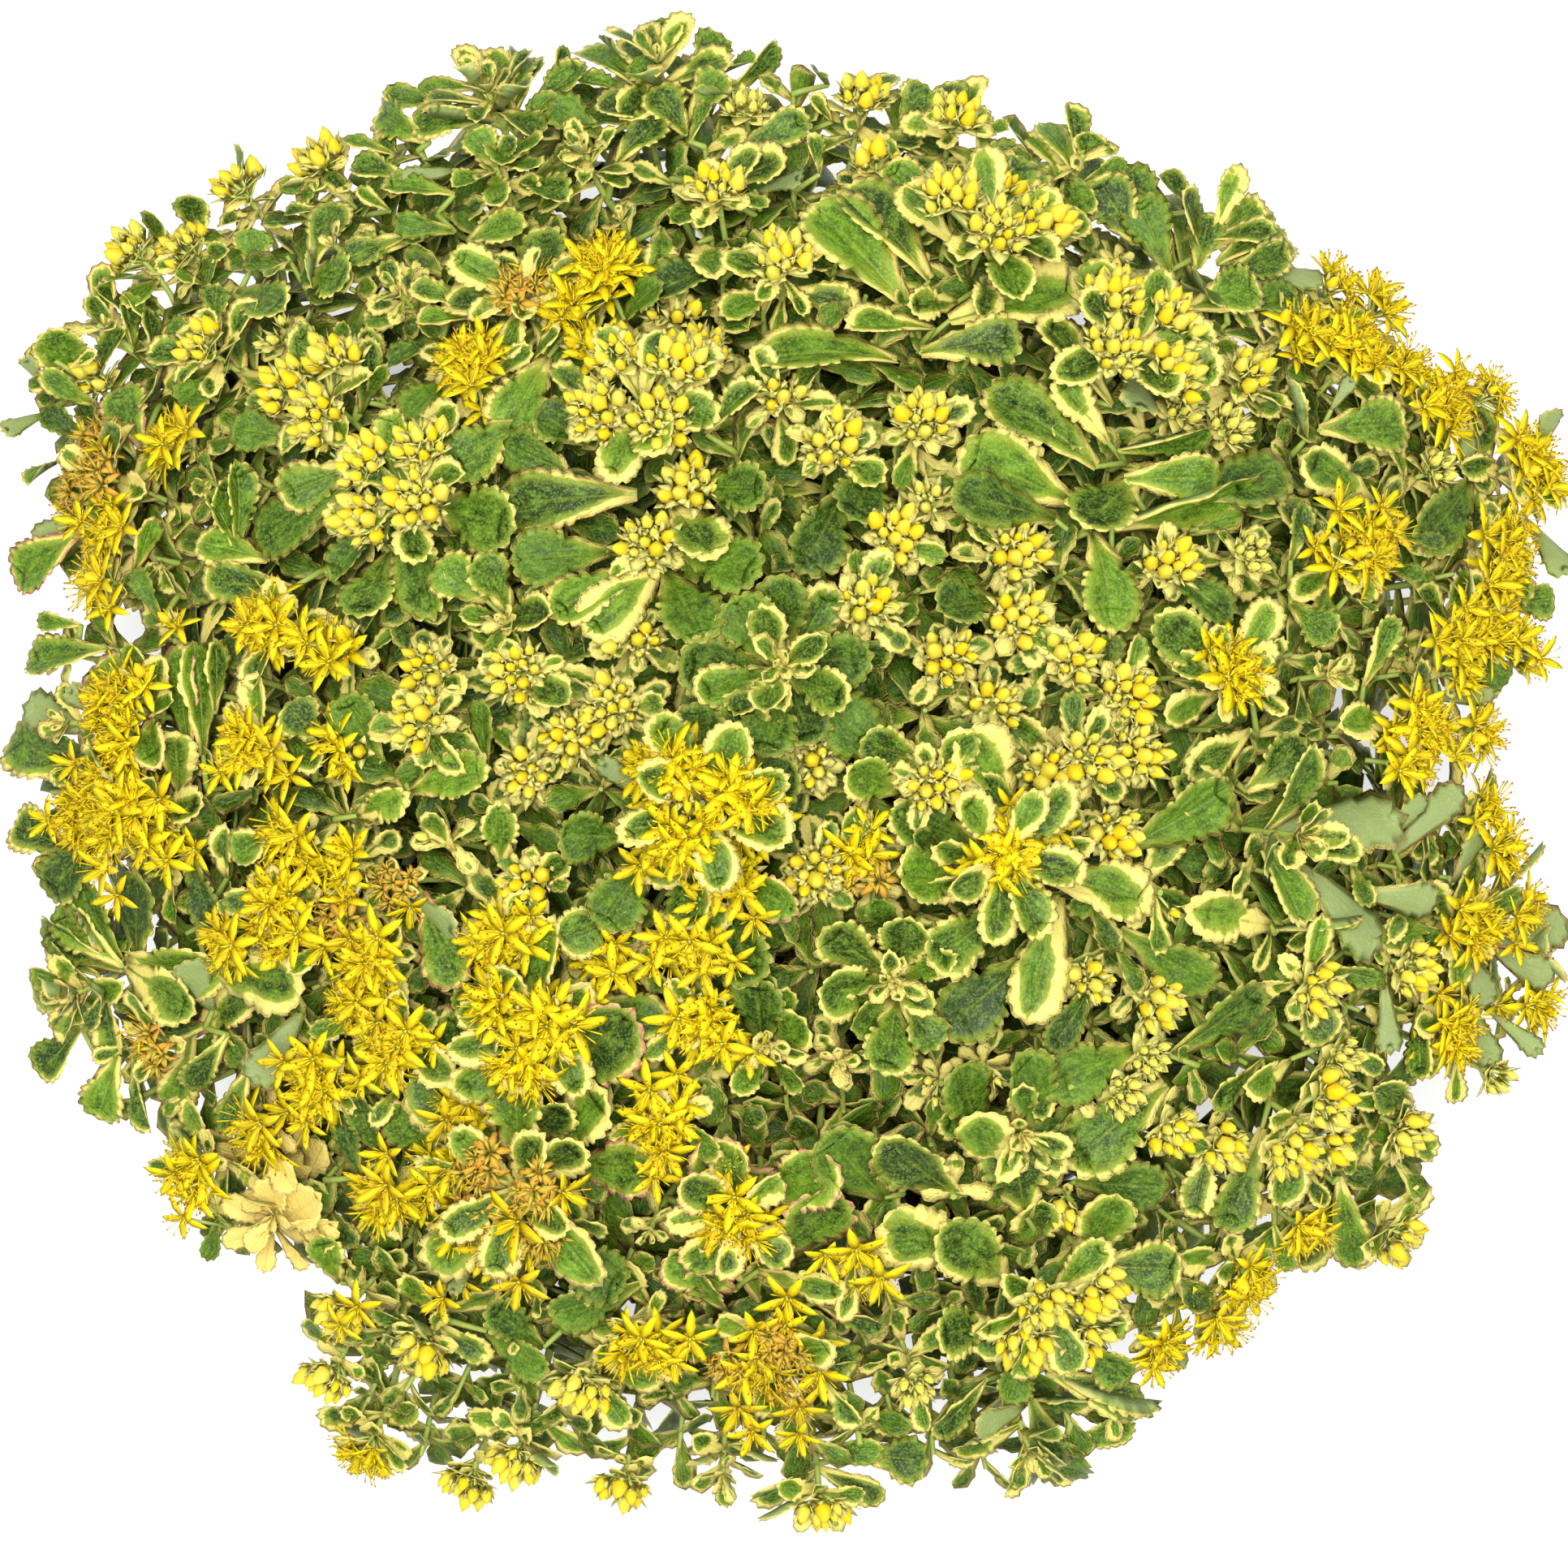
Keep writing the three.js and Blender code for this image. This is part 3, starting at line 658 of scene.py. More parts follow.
@dataclass(frozen=True)
class FlowerShape:
    """A flower one unit in radius that looks along +Z."""

    petals: int = 5
    petal_rise: float = 18.0
    petal_curl: float = 16.0
    petal_width: float = 0.155
    petal_part: Part = Part.PETAL
    petal_long: float = 1.0
    stamens: int = 10
    stamen_long: float = 0.72
    stamen_spread: float = 40.0
    carpel_long: float = 0.36
    carpel_spread: float = 24.0
    carpel_thick: float = 0.055
    carpel_part: Part = Part.CARPEL
    seed: float = 0.0

    @staticmethod
    def spoke(angle: float, out: float, up: float, side: float = 0.0) -> Vector:
        """A place by its bearing, its distance out, its height and a step aside."""
        radial = Vector((math.cos(angle), math.sin(angle), 0))
        return radial * out + Vector((-radial.y, radial.x, 0)) * side + UP * up

    def petal(self, made: Shell, angle: float, number: int) -> None:
        """Adds one pointed petal with a crease along its middle."""
        part = self.petal_part.value
        widths = ((0.0, 0.5), (0.4, 1.0), (0.75, 0.7))
        rise = math.radians(self.petal_rise + 14 * (draw(self.seed, number) - 0.5))
        long = self.petal_long * (0.9 + 0.15 * draw(self.seed, 20 + number))

        def place(share: float, side: float, lift: float) -> Vector:
            bend = rise - math.radians(self.petal_curl) * share
            out = 0.05 + long * share * math.cos(bend)
            return self.spoke(angle, out, long * share * math.sin(bend) + lift, side)

        rows = []
        for share, width in widths:
            half = self.petal_width * width
            rows.append([
                made.corner(place(share, half, 0.03), (part, share, 1)),
                made.corner(place(share, 0, 0.0), (part, share, 0)),
                made.corner(place(share, -half, 0.03), (part, share, -1)),
                made.corner(place(share, 0, -0.045), (part, share, 0.6)),
            ])
        tip = made.corner(place(1.0, 0, 0.01), (part, 1, 0.5))
        for low, high in zip(rows, rows[1:]):
            for k in range(4):
                made.face(low[k], low[(k + 1) % 4], high[(k + 1) % 4], high[k])
        for k in range(4):
            made.face(rows[-1][k], rows[-1][(k + 1) % 4], tip)
        made.face(*rows[0][::-1])

    def needle(self, made: Shell, start: Vector, end: Vector, thick: float, part: Part, sides: int = 3) -> None:
        """Adds a thin cone from start to end, closed at its foot."""
        along = (end - start).normalized()
        side = along.orthogonal().normalized()
        foot = []
        for k in range(sides):
            turn = Matrix.Rotation(k / sides * math.tau, 3, along)
            foot.append(made.corner(start + turn @ side * thick, (part.value, 0, 0.6)))
        tip = made.corner(end, (part.value, 1, 0.6))
        for k in range(sides):
            made.face(foot[k], foot[(k + 1) % sides], tip)
        made.face(*foot[::-1])

    def bead(self, made: Shell, centre: Vector, along: Vector, thick: float, part: Part) -> None:
        """Adds a small pointed grain."""
        side = along.orthogonal().normalized() * thick
        tip = made.corner(centre + along * thick * 1.8, (part.value, 1, 0.6))
        ring = []
        for k in range(3):
            turn = Matrix.Rotation(k / 3 * math.tau, 3, along)
            ring.append(made.corner(centre + turn @ side, (part.value, 0.3, 0.6)))
        for k in range(3):
            made.face(ring[k], ring[(k + 1) % 3], tip)
        made.face(*ring[::-1])

    def shell(self) -> Shell:
        """The closed shapes of the whole flower."""
        made = Shell("bloom")
        for i in range(self.petals):
            self.petal(made, i / 5 * math.tau + 0.2 * (draw(self.seed, 40 + i) - 0.5), i)
        for i in range(self.stamens):
            angle = (i + 0.5) / self.stamens * math.tau + 0.3 * (draw(self.seed, 50 + i) - 0.5)
            spread = math.radians(self.stamen_spread + 22 * (draw(self.seed, 60 + i) - 0.5))
            long = self.stamen_long * (0.85 + 0.3 * draw(self.seed, 70 + i))
            start = self.spoke(angle, 0.05, 0.02)
            end = self.spoke(angle, 0.05 + long * math.sin(spread), long * math.cos(spread))
            self.needle(made, end, start, 0.026, Part.FILAMENT)
            self.bead(made, end, (end - start).normalized(), 0.04, Part.ANTHER)
        for i in range(5 if self.carpel_long else 0):
            angle = (i + 0.5) / 5 * math.tau
            spread = math.radians(self.carpel_spread)
            start = self.spoke(angle, 0.07, 0.0)
            end = self.spoke(angle, 0.07 + self.carpel_long * math.sin(spread), self.carpel_long * math.cos(spread))
            self.needle(made, start, end, self.carpel_thick, self.carpel_part)
        return made


@dataclass(frozen=True)
class BudShape:
    """A ribbed pointed bud one unit tall, cupped by five sepals."""

    plump: float = 0.34
    sepal_long: float = 0.66
    sepal_wide: float = 0.19
    sepal_open: float = 0.8
    profile: tuple = ((0.0, 0.5), (0.36, 1.0), (0.76, 0.62))
    sides: int = 5

    def shell(self) -> Shell:
        """The closed bud and its closed sepals."""
        made = Shell("bloom")
        bud, sepal = Part.BUD.value, Part.SEPAL.value
        rings = []
        for row, (up, wide) in enumerate(self.profile):
            ring = []
            for k in range(self.sides):
                angle = (k + 0.5 * (row % 2)) / self.sides * math.tau
                out = self.plump * wide
                ring.append(made.corner((out * math.cos(angle), out * math.sin(angle), up), (bud, up, k % 2)))
            rings.append(ring)
        tip = made.corner((0, 0, 1), (bud, 1, 1))
        for low, high in zip(rings, rings[1:]):
            for k in range(self.sides):
                made.face(low[k], low[(k + 1) % self.sides], high[(k + 1) % self.sides], high[k])
        for k in range(self.sides):
            made.face(rings[-1][k], rings[-1][(k + 1) % self.sides], tip)
        made.face(*rings[0][::-1])
        for i in range(5):
            angle = (i + 0.5) / 5 * math.tau
            spoke = FlowerShape.spoke
            foot = made.corner(spoke(angle, self.plump * 0.75, -0.05), (sepal, 0, 0.6))
            left, right = (
                made.corner(
                    spoke(angle, self.plump * 1.15, self.sepal_long * 0.45, side * self.sepal_wide), (sepal, 0.5, 0.6))
                for side in (1, -1))
            out = self.plump * 1.05 + self.sepal_long * self.sepal_open * 0.5
            end = made.corner(spoke(angle, out, self.sepal_long), (sepal, 1, 0.6))
            for corners in ((foot, right, left), (left, right, end), (foot, left, end), (foot, end, right)):
                made.face(*corners)
        return made


def stalk_shell(sides: int = 3) -> Shell:
    """A unit stalk along +Z."""
    made = Shell("bloom")
    rings = []
    for up in (0.0, 1.0):
        places = [(math.cos(k / sides * math.tau), math.sin(k / sides * math.tau), up) for k in range(sides)]
        rings.append([made.corner(p, (Part.STALK.value, up, 0.6)) for p in places])
    for k in range(sides):
        made.face(rings[0][k], rings[0][(k + 1) % sides], rings[1][(k + 1) % sides], rings[1][k])
    made.face(*rings[0][::-1])
    made.face(*rings[1])
    return made


def grain_shell(seed: float) -> Shell:
    """An angular chip about one unit across."""
    made = Shell("blade")
    corners = []
    for i in range(8):
        x, y, z = [(1 if i & bit else -1) * (0.3 + 0.25 * draw(seed, i * 3 + bit)) for bit in (1, 2, 4)]
        corners.append(made.corner((x, y, z), (0, 0, 0)))
    for face in ((0, 1, 3, 2), (4, 6, 7, 5), (0, 4, 5, 1), (2, 3, 7, 6), (0, 2, 6, 4), (1, 5, 7, 3)):
        made.face(*[corners[k] for k in face])
    return made


class Shelf:
    """A numbered collection of small shapes, kept out of the scene."""

    def __init__(self, name: str) -> None:
        """Starts an empty shelf."""
        self.collection = bpy.data.collections.new(name)
        self.count = 0

    def put(self, shell: Shell) -> int:
        """Adds a shape and returns its number."""
        made = shell.object(f"{self.collection.name}_{self.count:03d}")
        self.collection.objects.link(made)
        self.count += 1
        return self.count - 1

    def clear(self) -> None:
        """Removes the shapes once they have been set."""
        for shape in list(self.collection.objects):
            bpy.data.meshes.remove(shape.data)
        bpy.data.collections.remove(self.collection)


# Geometry node trees

class Tree:
    """A geometry node tree with named inputs that ends in Realize Instances and Set Material."""

    def __init__(self, name: str, inputs: Sequence[tuple[str, str]]) -> None:
        """Makes the tree and its inputs.

        Args:
            name: the tree's name.
            inputs: pairs of an input's name and its socket type.
        """
        self.tree = bpy.data.node_groups.new(name, "GeometryNodeTree")
        self.sockets: dict[str, str] = {}
        face = self.tree.interface
        face.new_socket("Geometry", in_out="INPUT", socket_type="NodeSocketGeometry")
        for label, kind in (*inputs, ("Material", "NodeSocketMaterial")):
            self.sockets[label] = face.new_socket(label, in_out="INPUT", socket_type=kind).identifier
        face.new_socket("Geometry", in_out="OUTPUT", socket_type="NodeSocketGeometry")
        self.graph = Graph(self.tree)
        self.entry = self.graph.add("NodeGroupInput")

    def held(self, name: str, kind: str) -> Wire:
        """A stored attribute of the points."""
        return self.graph.add("GeometryNodeInputNamedAttribute", {"data_type": kind}, {"Name": name})

    def end(self, geometry: Wire) -> None:
        """Closes the tree."""
        real = self.graph.add("GeometryNodeRealizeInstances", {}, {"Geometry": geometry})
        inputs = {"Geometry": real, "Material": self.entry.out("Material")}
        dressed = self.graph.add("GeometryNodeSetMaterial", {}, inputs)
        self.graph.add("NodeGroupOutput", {}, {0: dressed})

    def grow(self, name: str, mesh: bpy.types.Mesh, values: dict[str, Any]) -> bpy.types.Object:
        """Runs the tree on a mesh.

        Args:
            name: the finished piece's name.
            mesh: what the tree starts from.
            values: its inputs by name.

        Returns:
            A plain mesh object in the scene.
        """
        seedling = bpy.data.objects.new(name + "_seed", mesh)
        bpy.context.scene.collection.objects.link(seedling)
        modifier = seedling.modifiers.new("grow", "NODES")
        modifier.node_group = self.tree
        for label, value in values.items():
            modifier[self.sockets[label]] = value
        ready = seedling.evaluated_get(bpy.context.evaluated_depsgraph_get())
        plain = bpy.data.meshes.new_from_object(ready)
        plain.name = name
        seedling.modifiers.remove(modifier)
        bpy.data.objects.remove(seedling)
        bpy.data.meshes.remove(mesh)
        made = bpy.data.objects.new(name, plain)
        bpy.context.scene.collection.objects.link(made)
        return made


class ScatterTree(Tree):
    """Sets a numbered shape on every point, turned and sized by the point's attributes."""

    def __init__(self) -> None:
        """Builds the tree."""
        super().__init__("set_shapes_on_points", [("Shapes", "NodeSocketCollection")])
        graph = self.graph
        settings = {"transform_space": "ORIGINAL"}
        inputs = {"Collection": self.entry.out("Shapes"), "Separate Children": True, "Reset Children": True}
        shapes = graph.add("GeometryNodeCollectionInfo", settings, inputs)
        turn = graph.add("FunctionNodeEulerToRotation", {}, {0: self.held("turn", "FLOAT_VECTOR")})
        inputs = {
            "Points": self.entry,
            "Instance": shapes,
            "Pick Instance": True,
            "Instance Index": self.held("pick", "INT"),
            "Rotation": turn,
            "Scale": self.held("size", "FLOAT_VECTOR"),
        }
        self.end(graph.add("GeometryNodeInstanceOnPoints", {}, inputs))


class StemTree(Tree):
    """Turns lines with a stored radius into round tapering stems."""

    def __init__(self) -> None:
        """Builds the tree."""
        super().__init__("stems_along_lines", [("Sides", "NodeSocketInt")])
        graph = self.graph
        line = graph.add("GeometryNodeMeshToCurve", {}, {"Mesh": self.entry})
        inputs = {"Resolution": self.entry.out("Sides"), "Radius": 1.0}
        ring = graph.add("GeometryNodeCurvePrimitiveCircle", {"mode": "RADIUS"}, inputs)
        thick = self.held("thick", "FLOAT")
        inputs = {"Curve": line, "Profile Curve": ring, "Scale": thick, "Fill Caps": True}
        self.end(graph.add("GeometryNodeCurveToMesh", {}, inputs))


@dataclass
class Points:
    """Places for small shapes, with each one's turn, size, pick and nature."""

    places: list = field(default_factory=list)
    turns: list = field(default_factory=list)
    sizes: list = field(default_factory=list)
    picks: list = field(default_factory=list)
    natures: list = field(default_factory=list)
    # How much painted shade each leaf gets, by depth.
    ages: list = field(default_factory=list)

    def add(self, place: Vector, basis: Matrix, size: Sequence[float], pick: int,
            nature: Sequence[float], age: float = 0.0) -> None:
        """Adds one place, in millimetres."""
        self.places.append(place * MM)
        self.turns.append(tuple(basis.to_euler("XYZ")))
        self.sizes.append(tuple(s * MM for s in size))
        self.picks.append(pick)
        self.natures.append(tuple(nature))
        self.ages.append(age)

    def mesh(self, name: str) -> bpy.types.Mesh:
        """The places as the corners of a mesh, with their attributes."""
        mesh = bpy.data.meshes.new(name)
        mesh.from_pydata([tuple(p) for p in self.places], [], [])
        store(mesh, "turn", "FLOAT_VECTOR", "vector", self.turns)
        store(mesh, "size", "FLOAT_VECTOR", "vector", self.sizes)
        store(mesh, "nature", "FLOAT_VECTOR", "vector", self.natures)
        store(mesh, "age", "FLOAT", "value", self.ages)
        picks = mesh.attributes.new("pick", "INT", "POINT")
        picks.data.foreach_set("value", np.array(self.picks, np.int32))
        return mesh


def basis_of(along: Vector, up: Vector) -> Matrix:
    """The turn that carries +Y along a direction, with +Z as near as it can be to up."""
    along = along.normalized()
    across = along.cross(up).normalized()
    upper = across.cross(along)
    return Matrix((across, along, upper)).transposed()


def aim_of(aim: Vector, spin: float) -> Matrix:
    """The turn that carries +Z to a direction, spun about it."""
    return aim.to_track_quat("Z", "Y").to_matrix() @ Matrix.Rotation(spin, 3, "Z")


def clean(piece: bpy.types.Object, kept: Sequence[str]) -> None:
    """Removes the attributes that only the trees needed."""
    for name in ("turn", "size", "pick", "thick", "age", "under", "nature", "blade", "bloom"):
        if name not in kept and name in piece.data.attributes:
            piece.data.attributes.remove(piece.data.attributes[name])


# The plant

class Kind(Enum):
    """What a shoot ends in."""

    LEAFY = "leafy"
    YOUNG = "young"
    BUD = "bud"
    FLOWER = "flower"
    BUNCH = "one small bunch of flowers"
    SPENT = "spent"


L, Y, B, F, S = Kind.LEAFY, Kind.YOUNG, Kind.BUD, Kind.FLOWER, Kind.SPENT

# One row is one clump, its leading shoot first: each shoot's tip in pixels of the view from above, what it
# ends in, and the length of its leaves in millimetres.
CLUMPS = [
    [(963, 820, L, 23), (1065, 745, B, 12), (1005, 940, B, 10)],
    [(1025, 550, B, 14), (1135, 520, B, 12), (1100, 665, B, 11), (960, 480, B, 11)],
    [(790, 490, B, 25), (800, 670, B, 10), (830, 385, B, 9)],
    [(965, 325, B, 14), (885, 238, B, 14), (1060, 125, B, 12)],
    [(810, 75, L, 22), (720, 185, L, 15), (765, 268, L, 9)],
    [(600, 110, L, 22), (490, 360, L, 14), (400, 205, B, 11)],
    [(640, 360, S, 17), (585, 455, F, 13), (745, 335, F, 11)],
    [(1220, 275, B, 26), (1175, 150, B, 14), (1335, 190, B, 13)],
    [(1500, 280, L, 24), (1380, 320, L, 10), (1590, 410, F, 10)],
    [(1400, 425, B, 27), (1535, 465, B, 12), (1440, 700, B, 10)],
    [(1770, 510, F, 13), (1660, 420, F, 14), (1875, 570, F, 13)],
    [(1675, 680, F, 14), (1850, 670, F, 14), (1820, 775, F, 14)],
    [(1520, 830, F, 17), (1640, 830, L, 14), (1745, 890, F, 14)],
    [(1255, 765, B, 13), (1385, 855, B, 12), (1340, 935, B, 12), (1250, 680, B, 10)],
    [(1600, 1030, L, 26), (1810, 1140, F, 15), (1890, 1170, L, 18), (1820, 1010, F, 11)],
    [(1240, 1055, Kind.BUNCH, 25), (1150, 965, B, 14), (1430, 1100, B, 13)],
    [(1615, 1215, B, 14), (1785, 1265, F, 13), (1725, 1390, B, 13)],
    [(1605, 1385, B, 18), (1715, 1520, B, 14), (1440, 1390, B, 11)],
    [(1300, 1610, B, 24), (1535, 1570, F, 13), (1260, 1400, L, 20), (1270, 1790, L, 20)],
    [(1100, 1210, L, 17), (1035, 1310, L, 12), (1005, 1075, B, 10)],
    [(865, 990, F, 27), (850, 1160, F, 11), (860, 1255, F, 12), (945, 1290, L, 15)],
    [(905, 1500, Kind.BUNCH, 22), (1055, 1560, F, 13), (945, 1670, S, 18), (1010, 1850, B, 14)],
    [(825, 1380, F, 14), (790, 1650, F, 12), (725, 1705, B, 13), (890, 1820, L, 14)],
    [(630, 1470, S, 27), (655, 1265, F, 22), (525, 1655, B, 13), (640, 1790, B, 12)],
    [(245, 1440, F, 13), (335, 1500, L, 16), (475, 1470, F, 11), (455, 1780, F, 13)],
    [(490, 1290, F, 15), (395, 1330, F, 13), (195, 1290, S, 15)],
    [(160, 1000, F, 18), (90, 1225, L, 20), (345, 1110, F, 13)],
    [(620, 1160, F, 13), (650, 1090, B, 12), (460, 1180, F, 12)],
    [(310, 915, F, 15), (520, 890, B, 13), (335, 770, F, 15), (170, 880, F, 18)],
    [(640, 830, B, 14), (755, 870, B, 11), (622, 765, L, 12), (530, 825, B, 10)],
    [(400, 490, B, 19), (495, 605, B, 24), (255, 430, B, 15)],
    [(125, 585, S, 18), (235, 310, B, 14), (120, 400, B, 14), (135, 660, F, 11)],
]

# Smaller shoots between them, each of which forks from the nearest clump.
BETWEEN = [
    (610, 205, Y, 11), (920, 140, Y, 10), (1080, 210, B, 8), (300, 235, B, 9), (170, 315, B, 8),
    (410, 300, L, 12), (345, 415, Y, 9), (60, 440, L, 14), (130, 470, B, 7), (420, 570, B, 8),
    (735, 430, F, 7), (700, 385, F, 9), (225, 548, F, 9), (128, 715, F, 9), (455, 665, Y, 8),
    (870, 435, B, 8), (740, 595, B, 7), (850, 600, B, 7), (1150, 620, Y, 8), (1270, 540, Y, 8),
    (1450, 510, Y, 8), (1510, 530, Y, 8), (1350, 640, L, 13), (1640, 360, F, 8), (1695, 385, F, 9),
    (1720, 455, F, 9), (1830, 490, F, 9), (1900, 600, F, 9), (1765, 580, Y, 10), (1845, 720, F, 9),
    (1865, 800, F, 9), (1790, 830, F, 9), (1535, 685, Y, 10), (1165, 810, B, 10), (1225, 870, B, 8),
    (1318, 805, B, 9), (1735, 940, F, 9), (1815, 900, F, 9), (1840, 1050, F, 9), (780, 785, B, 10),
    (705, 910, B, 10), (645, 955, B, 10), (825, 1035, F, 9), (880, 940, F, 9), (800, 950, F, 9),
    (900, 1080, F, 9), (930, 1010, F, 9), (1065, 1040, F, 8), (1080, 1090, S, 8), (1400, 930, B, 10),
    (1290, 950, B, 8), (1370, 1025, B, 7), (755, 1200, F, 10), (1160, 1335, Y, 8), (1215, 1315, Y, 8),
    (1320, 1340, L, 15), (415, 800, F, 10), (215, 790, F, 10), (425, 920, F, 11), (110, 1010, F, 11),
    (200, 1000, F, 11), (180, 1080, F, 11), (80, 890, L, 15), (240, 850, L, 13), (60, 800, L, 11),
    (50, 1040, L, 13), (365, 1035, F, 10), (350, 1160, F, 9), (430, 1065, F, 9), (490, 1090, S, 9),
    (415, 1130, S, 11), (545, 1040, Y, 11), (290, 1165, F, 9), (440, 1235, F, 9), (1870, 1125, F, 9),
    (1735, 1190, B, 9), (1880, 1240, F, 9), (1425, 1230, B, 8), (1340, 1210, B, 8), (1645, 1300, Y, 11),
    (1500, 1410, B, 9), (1412, 1300, Y, 8), (1380, 1345, Y, 8), (1600, 1510, F, 9), (1500, 1625, F, 9),
    (1420, 1650, F, 8), (1835, 1320, Y, 9), (325, 1395, F, 10), (570, 1360, F, 9), (545, 1430, F, 8),
    (800, 1520, L, 11), (640, 1650, L, 11), (430, 1610, B, 9), (410, 1690, B, 9), (580, 1820, B, 9),
    (770, 1820, B, 8), (1125, 1700, Y, 10), (1060, 1780, L, 13), (1175, 1475, Y, 12), (1320, 1480, B, 7),
    (1380, 1740, L, 15),
]


